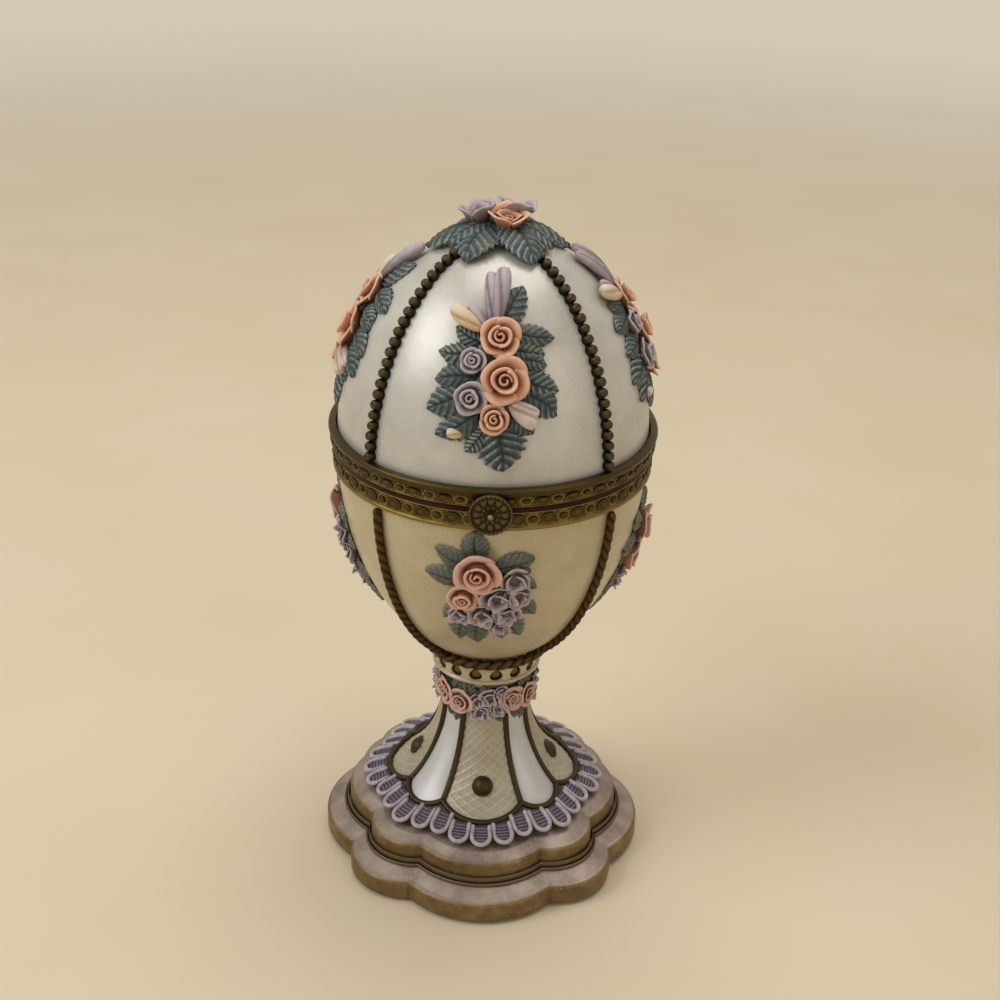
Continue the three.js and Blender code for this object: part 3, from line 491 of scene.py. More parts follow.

# %% [markdown]
# ## Enamels
#
# The lid and the foot's petals are pearl white: a soft, slightly metallic sheen under a thin clear coat,
# with faint clouds where the brush overlapped. The bowl, the net panels and the collar are the same
# pearl over a creamier ground. The enamel of the bowl and the collar is also darker than the pearl, a painted
# shade of the bowl's downward faces.

# %% Pearl and cream enamel


def enamel(name, light, dark, hollow_shade):
    finish = Finish(name, Metallic=0.2, Coat_Weight=0.3, Coat_Roughness=0.36, Specular_IOR_Level=0.5)
    clouds = finish.noise(9.0, 4.0, 0.6)
    flake = finish.noise(0.5, 2.0, 0.5)
    ground = finish.ramp(clouds, [(0.3, dark), (0.7, light)])
    ground = finish.over(ground, "#f4efe6", flake, [(0.35, 0.0), (0.75, 0.14)])
    # Painted shade: the last colour given darkens the enamel in corners and creases, as far as occlusion
    # finds them.
    ground = finish.over(ground, hollow_shade, finish.depth(1.2), [(0.55, 0.75), (0.95, 0.0)])
    return finish.complete(ground, clouds, 0.27, 0.42, finish.noise(0.7, 3.0), 0.012)


pearl = enamel("pearl enamel", "#cccac3", "#b8b4a9", "#857a62")
# Bowl and collar enamel: a creamier ground, made darker as painted shade of the bowl's downward faces.
shaded_cream = enamel("cream enamel", "#c3b697", "#b1a17c", "#776341")
print("enamels:", pearl.name, "and", shaded_cream.name)

# %% [markdown]
# ## Old gold and brass
#
# The ribs, wires and studs are painted in dark antique gold, with light only on the high spots. The two
# bands and the hinge are stamped brass, brighter, with brown left in the stamped hollows. One function
# makes each from three shades, which follow the depth of the relief.

# %% Metals


def old_metal(name, deep, middle, high, reach, roughness):
    finish = Finish(name, Metallic=0.8, Specular_IOR_Level=0.5)
    grain = finish.noise(1.1, 4.0, 0.65)
    height = finish.maths("MULTIPLY", finish.depth(reach), finish.mixed(0.7, grain, finish.paint()))
    shades = finish.ramp(height, [(0.12, deep), (0.42, middle), (0.85, high)])
    shades = finish.over(shades, deep, grain, [(0.45, 0.0), (0.8, 0.35)])
    return finish.complete(shades, grain, roughness - 0.08, roughness + 0.14, finish.noise(0.35, 3.0), 0.02)


old_gold = old_metal("old gold", "#15120b", "#362d1d", "#685a3c", 0.9, 0.45)
rope_gold = old_metal("rope gold", "#1f1508", "#3a2911", "#5c4423", 0.7, 0.45)
bead_gold = old_metal("bead gold", "#110d07", "#2b2315", "#574930", 0.9, 0.45)
line_gold = old_metal("line gold", "#2a2115", "#5a4c36", "#93866a", 0.35, 0.42)
clasp_gold = old_metal("clasp gold", "#1d1609", "#42351a", "#76673d", 0.5, 0.42)
brass = old_metal("stamped brass", "#241a09", "#5d4d22", "#a18a46", 0.8, 0.34)
golds = (old_gold, rope_gold, bead_gold, line_gold, clasp_gold, brass)
print("metals:", [metal.name for metal in golds])

# %% [markdown]
# ## The lobed outline
#
# The two slabs, the lace and the foot's panels share one outline: four wide lobes to the front, sides and
# back, and four narrow ones between. Each lobe is an arc, and neighbours meet in a crease. A formula
# gives the radius at any turn, so all of them follow the same lobes.

# %% Lobes
WIDE_HALF = math.radians(28)
NARROW_HALF = math.pi / 4 - WIDE_HALF


def arc_radius(off, half, peak, notch):
    centre = (peak ** 2 - notch ** 2) / (2 * (peak - notch * math.cos(half)))
    return centre * np.cos(off) + np.sqrt((peak - centre) ** 2 - (centre * np.sin(off)) ** 2)


def off_narrow(turn):
    """Turn off the middle of the nearest narrow lobe."""
    return np.abs(np.mod(turn, math.pi / 2) - math.pi / 4)


def lobed(turn, wide, narrow, notch):
    off = off_narrow(np.asarray(turn, float))
    inner = arc_radius(np.minimum(off, NARROW_HALF), NARROW_HALF, narrow, notch)
    outer = arc_radius(np.minimum(math.pi / 4 - off, WIDE_HALF), WIDE_HALF, wide, notch)
    return np.where(off < NARROW_HALF, inner, outer)


def lobe_turns(wide_steps, narrow_steps):
    """Turns all round, with one on every crease."""
    turns = []
    for side in range(4):
        start = side * math.pi / 2 - WIDE_HALF
        turns.extend(start + 2 * WIDE_HALF * np.arange(wide_steps) / wide_steps)
        turns.extend(start + 2 * WIDE_HALF + 2 * NARROW_HALF * np.arange(narrow_steps) / narrow_steps)
    return np.array(turns)


PLINTH_LOBES = (PLINTH_REACH, PLINTH_REACH, PLINTH_REACH - 2.9)
TIER_LOBES = (TIER_REACH, TIER_REACH, TIER_REACH - 2.6)
LACE_LOBES = (LACE_REACH, LACE_REACH - 0.3, LACE_REACH - 2.5)
PANEL_REACH = LACE_REACH - 5.4
PANEL_LOBES = (PANEL_REACH, PANEL_REACH - 0.7, PANEL_REACH - 2.8)
edge_turns = lobe_turns(56, 36)
print("points round a slab:", len(edge_turns))

# %% [markdown]
# ## The plinth
#
# Two slabs carry the foot. Their tops are a silvery mauve that was rubbed on, and their walls are
# brown gold. The paint value is 1 on the wall and 0 on top, so that one finish can colour both.

# %% Plinth paint


def plinth_paint():
    finish = Finish("plinth paint", Metallic=0.45, Specular_IOR_Level=0.5)
    rub = finish.noise(5.0, 5.0, 0.65)
    speck = finish.noise(0.6, 4.0, 0.6)
    top = finish.ramp(rub, [(0.3, "#7d6f68"), (0.5, "#97887f"), (0.72, "#ada098")])
    wall = finish.ramp(rub, [(0.3, "#5c4727"), (0.55, "#7d653d"), (0.75, "#988258")])
    ragged = finish.maths("ADD", finish.paint(), finish.mixed(0.5, -0.25, finish.mixed(0.5, rub, speck)))
    shades = finish.tint(finish.ramp(ragged, [(0.35, 0.0), (0.62, 1.0)]), top, wall)
    shades = finish.over(shades, "#c0b3a6", speck, [(0.56, 0.0), (0.8, 0.4)])
    # Painted shade: dark brown in the corners and grooves, by occlusion.
    shades = finish.over(shades, "#3a2b17", finish.depth(1.6), [(0.5, 0.85), (0.95, 0.0)])
    return finish.complete(shades, speck, 0.33, 0.55, finish.mixed(0.5, speck, rub), 0.05)


plinth_finish = plinth_paint()
print("plinth paint:", plinth_finish.name)

# %% [markdown]
# Rings of the lobed outline are stacked to make a slab, with close rings where its edge is rounded. A
# bevel would do it too, but it tangles in the creases between the lobes.

# %% Slabs
TO_AXIS = 99             # an inset that always ends at the axis
FELT_TOP = high_of("felt_pad")[2]
PLINTH_TOP = high_of("lower_plinth")[2]


def stacked(lobes, levels):
    """Rings of a lobed outline, each given as inset, height and paint."""
    radius = lobed(edge_turns, *lobes)
    inset, height, paint = np.array(levels, float).T
    reach = np.maximum(radius[:, None] - inset, 0)
    points = polar(reach, edge_turns[:, None], height[None, :])
    batch = Batch()
    batch.add(points, paint, close_rows=True)
    return batch


def slab(name, node, lobes, foot, edge, top, run_in, round_off):
    """Slab with a rounded edge whose top climbs inwards."""
    turns = np.linspace(0, math.pi / 2, 6)
    levels = [(TO_AXIS, foot, 1), (0.5, foot, 1), (0.15, foot + 0.1, 1), (0, foot + 0.45, 1)]
    levels += [(0, height, 1) for height in np.linspace(foot + 1, edge - round_off, 4)]
    for turn in turns[1:]:
        wear = 1 - 0.9 * turn / turns[-1]
        levels.append((round_off * (1 - math.cos(turn)), edge - round_off * (1 - math.sin(turn)), wear))
    for share in np.linspace(0.06, 1, 8):
        levels.append((round_off + (run_in - round_off) * share, edge + (top - edge) * share, 0))
    levels.append((TO_AXIS, top, 0))
    return make_piece(name, stacked(lobes, levels), plinth_finish, "stand", [node], sharp=50)


slab("base_slab", "lower_plinth", PLINTH_LOBES, FELT_TOP, PLINTH_TOP - 1.8, PLINTH_TOP, 4.6, 0.9)
slab("step_slab", "upper_plinth", TIER_LOBES, PLINTH_TOP, TIER_TOP - 1.1, TIER_TOP, 3.0, 0.8)
print("slabs from", round(FELT_TOP, 1), "to", round(TIER_TOP, 1))

# %% [markdown]
# ## Moulding and felt
#
# A fine double line runs round the foot of the upper slab, where the mould left two little steps. It is one
# section that follows the lobes. Under everything lies a pad of brown felt.

# %% Moulding and felt


def ring_on_lobes(lobes, section):
    """Closed ring whose section holds offsets outwards and heights."""
    section = np.asarray(section, float)
    reach = lobed(edge_turns, *lobes)[:, None] + section[None, :, 0]
    batch = Batch()
    points = polar(reach, edge_turns[:, None], section[None, :, 1])
    batch.add(points, close_rows=True, close_columns=True)
    return batch


def felt_cloth():
    finish = Finish("felt", Sheen_Weight=0.6, Sheen_Roughness=0.5, Specular_IOR_Level=0.2)
    fuzz = finish.noise(0.4, 5.0, 0.7)
    shades = finish.ramp(fuzz, [(0.3, "#2c241c"), (0.7, "#4a3f33")])
    return finish.complete(shades, fuzz, 0.85, 1.0, fuzz, 0.15)


def bead_section(middle, foot, width, height, steps=7):
    """Half round of a moulding."""
    turns = np.linspace(0, math.pi, steps)
    return [(middle + width / 2 * math.cos(t), foot + height * math.sin(t)) for t in turns]


outer_line = bead_section(FIT + 0.78, PLINTH_TOP, 0.62, 0.45)
inner_line = bead_section(FIT + 0.22, PLINTH_TOP + 0.1, 0.5, 1.35)
moulding = ring_on_lobes(TIER_LOBES, outer_line + inner_line)
make_piece("step_moulding", moulding, line_gold, "stand", ["plinth_moulding"], sharp=60)
pad_edge = [(TO_AXIS, 0), (1.7, 0), (1.6, 0.1), (1.6, FELT_TOP), (TO_AXIS, FELT_TOP)]
pad = stacked(PLINTH_LOBES, [(inset, height, 0.5) for inset, height in pad_edge])
make_piece("felt_sole", pad, felt_cloth(), "stand", ["felt_pad"], sharp=50)
print("moulding points:", moulding.count)

# %% [markdown]
# ## The flared foot
#
# The foot is a trumpet with eight panels. The four wide ones are flat, with a fine diamond net in
# relief. The four narrow ones swell like petals. Both are heights added to the flare, square to its
# surface.

# %% Foot form
PETAL_BULGE = 0.85
PETAL_END = 0.68      # share of the flare where a petal flattens out
NET_ACROSS = 2.75     # diamonds from the middle of a panel to its side
NET_PITCH = 1.95      # height of a diamond
NET_RIDGE = 0.14
NET_LINE = 0.085      # half width of a ridge, as a share of a diamond
WIRE_END = 0.93       # share of the flare that the wires climb


def flare_run(radius):
    """Length along the flare at a radius."""
    return np.interp(-np.asarray(radius), -flare.points[:, 0], flare.run)


def petal_swell(turn, share):
    across = 1 - np.minimum(off_narrow(turn) / NARROW_HALF, 1) ** 2
    return PETAL_BULGE * across * np.sin(math.pi * np.minimum(share / PETAL_END, 1))


def net_lines(turn, run):
    """Ridge of the diamond net, from 0 to 1, on the wide panels only."""
    off = math.pi / 4 - off_narrow(turn)
    side = np.sign(np.mod(turn + math.pi / 4, math.pi / 2) - math.pi / 4)
    across = NET_ACROSS * side * off / WIDE_HALF
    ridge = 0
    for slant in (-1, 1):
        gap = np.abs(np.mod(across + slant * run / NET_PITCH + 0.5, 1) - 0.5)
        ridge = np.maximum(ridge, np.exp(-(gap / NET_LINE) ** 2))
    return ridge * (off < 0.97 * WIDE_HALF)


def foot_points(turn, share, lift=0.0, relief=True):
    start = flare_run(lobed(turn, *PANEL_LOBES))
    run = start + (flare.length - start) * share
    radius, height, dr, dz = flare.at(run)
    lift = lift + petal_swell(turn, share)
    if relief:
        lift = lift + NET_RIDGE * net_lines(turn, run)
    return polar(radius + lift * dz, turn, height - lift * dr), dr, dz


print("net ridge at a crossing:", round(float(net_lines(0.0, 0.0)), 2))

# %% [markdown]
# The mesh is one grid round the foot, fine enough to hold the net. The net's own height is also its paint,
# so that one finish makes the panels cream, the ridges paler and the petals pearl.

# %% Foot enamel and mesh


def foot_enamel():
    """Cream on the net panels, pearl on the petals, from the paint of the net."""
    finish = Finish("foot enamel", Metallic=0.2, Coat_Weight=0.25, Coat_Roughness=0.4)
    clouds = finish.noise(5.0, 4.0, 0.6)
    net = finish.ramp(finish.paint(), [(0.2, "#a1977e"), (0.6, "#beb7a1"), (0.9, "#c6c7c7")])
    shades = finish.over(net, "#e6e3dc", clouds, [(0.35, 0.0), (0.7, 0.25)])
    # Painted shade: brown in the corners and creases, by occlusion.
    shades = finish.over(shades, "#7d6b4b", finish.depth(1.5), [(0.5, 0.8), (0.97, 0.0)])
    return finish.complete(shades, clouds, 0.34, 0.5, finish.noise(0.5, 3.0), 0.015)


def make_foot():
    turns = lobe_turns(88, 40)[:, None]
    share = np.linspace(0, 1, 130)[None, :]
    skin, _, _ = foot_points(turns, share)
    start = flare_run(lobed(turns, *PANEL_LOBES))
    paint = 0.2 + 0.4 * net_lines(turns, start + (flare.length - start) * share)
    paint = np.where(off_narrow(turns) < NARROW_HALF, 1.0, paint)
    ends = []
    for reach, height in ((0, TIER_TOP), (None, TIER_TOP), (NECK_RADIUS, NECK_TOP), (0, NECK_TOP)):
        radius = lobed(turns, *PANEL_LOBES) if reach is None else np.full(turns.shape, float(reach))
        ends.append(polar(radius, turns, np.full(turns.shape, height)))
    points = np.concatenate([*ends[:2], skin, *ends[2:]], 1)
    paint = np.pad(paint, ((0, 0), (2, 2)), constant_values=0.4)
    batch = Batch()
    batch.add(points, paint, close_rows=True)
    finish = foot_enamel()
    return make_piece("foot_trumpet", batch, finish, "stand", ["flared_foot"], sharp=50)


foot = make_foot()
print("foot faces:", len(foot.data.polygons))

# %% [markdown]
# ## Wires and studs of the foot
#
# Dark gold cords outline the panels: a scalloped one round the bottom, and one up each crease that ends
# in a round tip under the garland. A gold stud sits on each wide panel. It is a boss: a round
# relief whose section is given as pairs of reach and lift.

# %% Wires and studs


def boss(width, height, section, steps=24):
    """Oval relief with its back on Z = 0, from shares of its reach and lifts."""
    section = np.asarray([(1, -0.2), *section], float)
    angle = full_turn(steps)
    aside = width / 2 * section[None, :, 0] * np.cos(angle)
    up = height / 2 * section[None, :, 0] * np.sin(angle)
    return points_of(aside, up, section[None, :, 1])


SIDES = ("front", "right", "back", "left")
STUD = [(1, 0.12), (0.96, 0.3), (0.88, 0.36), (0.8, 0.3), (0.74, 0.42), (0.6, 0.8), (0.35, 1.08), (0, 1.15)]
STUD_SIZE = 4.4
STUD_CLIMB = 6.1      # from the bottom of a panel to its stud, measured inwards
WIRE = 0.6            # radius of a wire


def make_wires():
    batch = Batch()
    turns = lobe_turns(40, 26)
    edge, dr, dz = foot_points(turns, np.full(len(turns), 0.012), 0.3, relief=False)
    out = polar(dz, turns, -dr)
    batch.add(*sweep(edge, out, WIRE + 0.02, closed=True), close_rows=True, close_columns=True)
    for side in range(4):
        for edge_turn in (-WIDE_HALF, WIDE_HALF):
            share = np.linspace(0, WIRE_END, 70)
            turn = np.full(share.shape, side * math.pi / 2 + edge_turn)
            path, dr, dz = foot_points(turn, share, 0.2, relief=False)
            batch.add(*sweep(path, polar(dz, turn, -dr), WIRE), close_columns=True)
    return make_piece("foot_cords", batch, old_gold, "stand", ["foot_wires"])


def make_studs():
    run = float(flare_run(PANEL_REACH - STUD_CLIMB))
    shape = boss(STUD_SIZE, STUD_SIZE, STUD, 28)
    for side, name in enumerate(SIDES):
        batch = Batch()
        batch.add(set_down(flare, side * math.pi / 2, run, (0, 0), shape, 0.1), close_rows=True)
        make_piece(f"gold_stud_{name}", batch, old_gold, "stand", [f"stud_{name}"])


wires = make_wires()
make_studs()
print("wire faces:", len(wires.data.polygons))

# %% [markdown]
# ## The lace border
#
# Thirty-two loops of cord hang round the panels, each filled with a purple ladder. A loop is a path out
# along one leg, round its tip and back. Its tongue and rungs lie inside it. All of them rest on the slope
# between the panels and the slab.

# %% Lace loops
LOOPS = 32
CORD = 0.46              # radius of the cord
RUNG = 0.2               # radius of a rung
RUNGS = 5
LOOP_HALF = 0.47         # half a loop, as a share of the pitch
CORD_LIFT, RUNG_LIFT, TONGUE_LIFT = 0.62, 0.42, 0.22


def lace_place(turn, radius, lift):
    """A point over the slope that carries the lace."""
    inner = lobed(turn, *PANEL_LOBES)
    outer = lobed(turn, *LACE_LOBES)
    inner_height = flare.at(flare_run(inner))[1]
    outer_height = flare.at(flare_run(outer))[1]
    share = (radius - inner) / (outer - inner)
    height = (1 - share) * inner_height + share * outer_height
    return polar(radius + 0.3 * lift, turn, height + lift)


def loop_frame(number):
    """Turn of a loop, its tip, its inner end and half its width between the legs' middles."""
    middle = 2 * math.pi * number / LOOPS
    tip = float(lobed(middle, *LACE_LOBES)) - CORD
    half = LOOP_HALF * 2 * math.pi / LOOPS * tip - CORD
    foot = float(lobed(middle, *PANEL_LOBES)) + 0.4
    return middle, tip, foot, half


print("half a loop, between its legs' middles:", round(loop_frame(0)[3], 2), "mm")

# %% [markdown]
# The lace is made as three objects, because its cords, its ground and its rungs have shades of their own.
# The tongues of the ground are flat, so they are sheets with a thickness added.

# %% Lace paint and meshes


def lace_paint(name, dark, light):
    finish = Finish(name, Specular_IOR_Level=0.4)
    grain = finish.noise(1.4, 3.0)
    shades = finish.ramp(grain, [(0.3, dark), (0.7, light)])
    # Painted shade: dark purple where the cords, rungs and ground meet, by occlusion.
    shades = finish.over(shades, "#57475c", finish.depth(0.8), [(0.45, 0.9), (0.95, 0.0)])
    return finish.complete(shades, grain, 0.38, 0.6, finish.noise(0.4, 3.0), 0.02)


def make_lace():
    cords, tongues, rungs = Batch(), Batch(), Batch()
    for number in range(LOOPS):
        middle, tip, foot, half = loop_frame(number)
        round_off = np.linspace(-math.pi / 2, math.pi / 2, 13)
        bend = tip - half
        legs = np.linspace(foot, bend, 8)[:-1]
        radius = np.concatenate([legs, bend + half * np.cos(round_off), legs[::-1]])
        aside = np.concatenate([-half * legs / bend, half * np.sin(round_off), (half * legs / bend)[::-1]])
        turn = middle + aside / radius
        path = lace_place(turn, radius, CORD_LIFT)
        out = polar(0.35, turn, 1.0)
        cords.add(*sweep(path, out, CORD, sides=10), close_columns=True)

        across = np.linspace(-1, 1, 7)[:, None]
        reach = np.linspace(foot, tip, 14)[None, :]
        over = np.clip((reach - bend) / half, 0, 1)
        width = half * np.minimum(reach / bend, 1) * np.sqrt(1 - over ** 2 * 0.999)
        flat_turn = middle + across * width / reach
        tongues.add(lace_place(flat_turn, reach, TONGUE_LIFT))

        for rung in range(RUNGS):
            at = foot + 0.9 + (tip - foot - 1.6) * rung / (RUNGS - 0.4)
            short = half * math.sqrt(max(1 - max((at - bend) / half, 0) ** 2, 0.05)) * min(at / bend, 1)
            spots = np.linspace(-short, short, 7)
            bar = lace_place(middle + spots / at, np.full(7, at), RUNG_LIFT)
            rungs.add(*sweep(bar, np.tile([0, 0, 1.0], (7, 1)), RUNG, sides=6), close_columns=True)
    cord_paint = lace_paint("lace cord", "#a3979d", "#c9bfc4")
    make_piece("lace_cords", cords, cord_paint, "stand", ["lace_loops"])
    ground = lace_paint("lace ground", "#443c47", "#5a515e")
    make_piece("lace_tongues", tongues, ground, "stand", ["lace_ground"], thickness=0.3)
    rung_paint = lace_paint("lace rungs", "#766c7a", "#928795")
    make_piece("lace_rungs", rungs, rung_paint, "stand")
    return cords.count + tongues.count + rungs.count


print("lace points:", make_lace())

# %% [markdown]
# ## Shells of the egg
#
# The bowl and the lid are turned shells. Their outsides follow the profiles closely, because a curve that
# is seen against a plain ground shows every facet.

# %% Shells
WALL = 2.6
FLANGE = 0.6             # the part of a band that turns inwards over the shell's rim
SHELL_BORE = EGG_RADIUS - WALL
outside = np.linspace(0, 1, 70)


def make_shells():
    under = [(0, BOWL_FOOT), (BOWL_FOOT_RADIUS - FIT, BOWL_FOOT)]
    inside = bowl.inset(np.linspace(1, 0.12, 30), WALL)
    shell_top = LOWER_TOP - FLANGE - FIT
    rim = [(EGG_RADIUS, shell_top), (SHELL_BORE, shell_top), (SHELL_BORE, LOWER_FOOT)]
    section = [*under, *bowl.inset(outside, 0), *rim, *inside[1:], (0, inside[-1][1])]
    batch = turned_batch(section, closed=False)
    make_piece("bowl_casting", batch, shaded_cream, "stand", ["bowl_shell"], sharp=40)

    lid_foot = UPPER_FOOT + FLANGE + FIT
    rim = [(EGG_RADIUS, lid_foot), (SHELL_BORE, lid_foot), (SHELL_BORE, UPPER_TOP)]
    inside = lid.inset(np.linspace(0, 1, 40), WALL)[1:]
    section = [*lid.inset(outside[::-1], 0), *rim, *inside[:-1], (0, LID_TOP - WALL)]
    batch = turned_batch(section, closed=False)
    make_piece("lid_casting", batch, pearl, "lid", ["lid_shell"], sharp=40)


make_shells()
print("shell wall", WALL, "bore", round(SHELL_BORE, 2))

# %% [markdown]
# Each half has a lining of burgundy velvet, which shows as a red line between the bands. Its burgundy is kept
# very dark, partly a painted shade of the narrow gap through which it is seen. It is built as a thin cup
# inside the shell, with a nap of fine noise and some sheen, because velvet shines at its edges.

# %% Linings
LINING_WALL = 0.7


def velvet():
    finish = Finish("burgundy velvet", Sheen_Weight=0.35, Sheen_Roughness=0.4, Specular_IOR_Level=0.25)
    nap = finish.noise(0.5, 4.0, 0.65)
    brushed = finish.mixed(0.5, nap, finish.noise(7.0, 2.0))
    # Very dark burgundy: the velvet's own colour with the shade of the gap painted in.
    shades = finish.ramp(brushed, [(0.35, "#2c0709"), (0.65, "#501114")])
    return finish.complete(shades, nap, 0.75, 0.95, nap, 0.06)


def make_linings():
    cloth = velvet()
    reach = SHELL_BORE - FIT
    bore = reach - LINING_WALL
    lip = LOWER_REACH - FIT
    share = np.linspace(0.12, 0.96, 26)
    out = bowl.inset(share, WALL + FIT)
    inner = bowl.inset(share, WALL + FIT + LINING_WALL)
    rim = [(reach, LOWER_FOOT), (reach, LOWER_TOP), (lip, LOWER_TOP), (lip, LOWER_TOP + 0.5)]
    rim += [(bore + 0.3, LOWER_TOP + 0.5), (bore, LOWER_TOP + 0.2), (bore, LOWER_FOOT)]
    section = [(0, out[0][1]), *out, *rim, *inner[::-1], (0, inner[0][1])]
    batch = turned_batch(section, closed=False, steps=128)
    make_piece("bowl_velvet", batch, cloth, "stand", ["bowl_lining"], sharp=45)

    top = LID_TOP - WALL - FIT
    share = np.linspace(0.03, 0.94, 26)
    out = lid.inset(share, WALL + FIT)
    inner = lid.inset(share, WALL + FIT + LINING_WALL)
    rim = [(reach, UPPER_TOP), (reach, UPPER_FOOT), (bore, UPPER_FOOT), (bore, UPPER_TOP)]
    section = [(0, top), *out[::-1], *rim, *inner, (0, top - LINING_WALL)]
    batch = turned_batch(section, closed=False, steps=128)
    make_piece("lid_velvet", batch, cloth, "lid", ["lid_lining"], sharp=45)


make_linings()
print("lining wall", LINING_WALL)

# %% [markdown]
# ## The brass bands
#
# Each half ends in a stamped band: ovals with a raised rim and small beads by turns, between plain edges.
# The stamped bosses are laid on the ring as meshes, because a texture alone would leave the band's outline
# smooth.

# %% Stamps
REPEATS = 33
OVAL = [(1, 0.05), (0.97, 0.24), (0.9, 0.32), (0.8, 0.3), (0.7, 0.16), (0.62, 0.14), (0.45, 0.26), (0, 0.34)]
BAND_BEAD = [(1, 0.05), (0.95, 0.2), (0.8, 0.32), (0.5, 0.4), (0, 0.42)]
PIP = [(1, 0.02), (0.8, 0.14), (0, 0.2)]


def wrap_band(shape, reach, turn, height):
    """Bend a flat boss round a band."""
    angle = turn + shape[..., 0] / reach
    return polar(reach + shape[..., 2], angle, height + shape[..., 1])


def stamp(batch, reach, foot, top, first):
    """Ovals, beads and pips round a band, from its first oval's turn."""
    pitch = 2 * math.pi / REPEATS
    middle = (foot + top) / 2
    tall = top - foot
    oval = boss(3.2, 0.84 * tall, OVAL, 26)
    bead = boss(1.7, 0.5 * tall, BAND_BEAD, 16)
    pip = boss(0.75, 0.55, PIP, 10)
    for number in range(REPEATS):
        turn = first + number * pitch
        batch.add(wrap_band(oval, reach, turn, middle), oval[..., 2], close_rows=True)
        batch.add(wrap_band(bead, reach, turn + pitch / 2, middle), bead[..., 2] / 2, close_rows=True)
        for side in (-0.285, 0.285):
            for up in (-0.34, 0.34):
                spot = wrap_band(pip, reach, turn + side * pitch, middle + up * tall)
                batch.add(spot, 0.5, close_rows=True)


print("bosses on each band:", 2 * REPEATS)

# %% [markdown]
# The rings themselves are turned from a softened section. The upper one has a rolled lip, and its lower
# edge slopes back, so that the red lining shows in the gap.

# %% Bands
LIP_HEIGHT = 1.6
UPPER_REACH = LIP_REACH - 0.5
LOWER_FIRST = math.radians(-1.95)    # turn of the first oval of a band
UPPER_FIRST = math.radians(-4.65)


def make_bands():
    bore = EGG_RADIUS + FIT
    flange = SHELL_BORE + FIT
    outer = LOWER_REACH - 0.25
    corners = [
        (bore, LOWER_FOOT), (LOWER_REACH, LOWER_FOOT), (LOWER_REACH, LOWER_FOOT + 0.55),
        (outer, LOWER_FOOT + 0.75), (outer, LOWER_TOP - 0.3), (outer + 0.2, LOWER_TOP - 0.2),
        (outer + 0.2, LOWER_TOP), (flange, LOWER_TOP),
        (flange, LOWER_TOP - FLANGE), (bore, LOWER_TOP - FLANGE),
    ]
    batch = turned_batch(soften(corners, 0.12), paint=0.7)
    stamp(batch, outer, LOWER_FOOT + 0.75, LOWER_TOP - 0.25, LOWER_FIRST)
    make_piece("lower_brass", batch, brass, "stand", ["lower_band"], sharp=60)

    strip_top = UPPER_TOP - LIP_HEIGHT
    strip = UPPER_REACH - 0.1
    corners = [
        (bore, UPPER_FOOT + FLANGE), (flange, UPPER_FOOT + FLANGE),
        (flange, UPPER_FOOT), (EGG_RADIUS, UPPER_FOOT),
        (UPPER_REACH + 0.1, UPPER_FOOT + 0.55), (UPPER_REACH + 0.1, UPPER_FOOT + 0.66),
        (strip, UPPER_FOOT + 0.74), (strip, strip_top),
        (UPPER_REACH + 0.25, strip_top + 0.12), (UPPER_REACH + 0.25, strip_top + 0.4),
        (LIP_REACH - 0.15, strip_top + 0.55), (LIP_REACH, strip_top + 0.8), (LIP_REACH, UPPER_TOP - 0.45),
        (LIP_REACH - 0.25, UPPER_TOP - 0.05), (UPPER_REACH - 0.3, UPPER_TOP), (bore, UPPER_TOP),
    ]
    section = soften(corners, 0.14)
    batch = turned_batch(section, paint=np.where(section[:, 1] > strip_top, 0.18, 0.75))
    stamp(batch, strip, UPPER_FOOT + 0.7, strip_top, UPPER_FIRST)
    make_piece("upper_brass", batch, brass, "lid", ["upper_band"], sharp=60)


make_bands()
print("reach of the strips:", round(LOWER_REACH, 2), round(UPPER_REACH, 2))

# %% [markdown]
# ## Ribs
#
# Four strings of beads run up the lid. A bead has a small ring pressed into its top, so it is a boss with
# a ring in its section. A thin cord under the beads joins them into one piece, as the casting does.

# %% Beads on the lid
BEAD = [(1, 0.3), (1.0, 0.7), (0.93, 1.1), (0.78, 1.45), (0.6, 1.62), (0.45, 1.62),
        (0.34, 1.5), (0.2, 1.55), (0, 1.6)]
BEAD_PITCH, BEAD_SIZE = 1.95, 1.98
FIRST_BEAD = 1.0         # from the band to the middle of the first bead
CORNERS = ("front_right", "back_right", "back_left", "front_left")
LID_RIB_TURN = math.radians(-1.5)
CROWN_REACH = 9.0        # the strings end this far from the top


def make_lid_ribs():
    length = lid.length - CROWN_REACH
    beads = int(length / BEAD_PITCH)
    for corner, name in enumerate(CORNERS):
        turn = (corner + 0.5) * math.pi / 2 + LID_RIB_TURN
        draw = random.Random(corner)
        batch = Batch()
        for number in range(beads):
            run = FIRST_BEAD + number * BEAD_PITCH
            size = BEAD_SIZE * draw.uniform(0.95, 1.04)
            shape = boss(size, size, BEAD, 14)
            spot = set_down(lid, turn, run, (draw.uniform(-0.06, 0.06), 0), shape)
            batch.add(spot, np.clip(shape[..., 2] / 1.7, 0, 1), close_rows=True)
        radius, height = lid.at(np.linspace(0.6, FIRST_BEAD + (beads - 1) * BEAD_PITCH, 60))[:2]
        out = np.tile(polar(1.0, turn, 0.4), (60, 1))
        batch.add(*sweep(polar(radius, turn, height), out, 0.6, sides=8), close_columns=True)
        make_piece(f"bead_string_{name}", batch, bead_gold, "lid", [f"lid_rib_{name}"])
    return beads


print("beads on a rib:", make_lid_ribs())

# %% [markdown]
# Four ropes run down the bowl to a rope ring. A rope is two strands, twisted, and is swept with a section
# that turns. The ring's rope turns a whole number of times, so that its ends meet.

# %% Ropes on the bowl
BOWL_RIB_TURN = math.radians(2)
ROPE, RING_ROPE = 0.88, 1.08         # radii of the ribs and of the ring
STRAND_TURN = 4.4                    # length in which a rope turns once
RING_TURNS = 17
ROPE_LIFT = 0.62


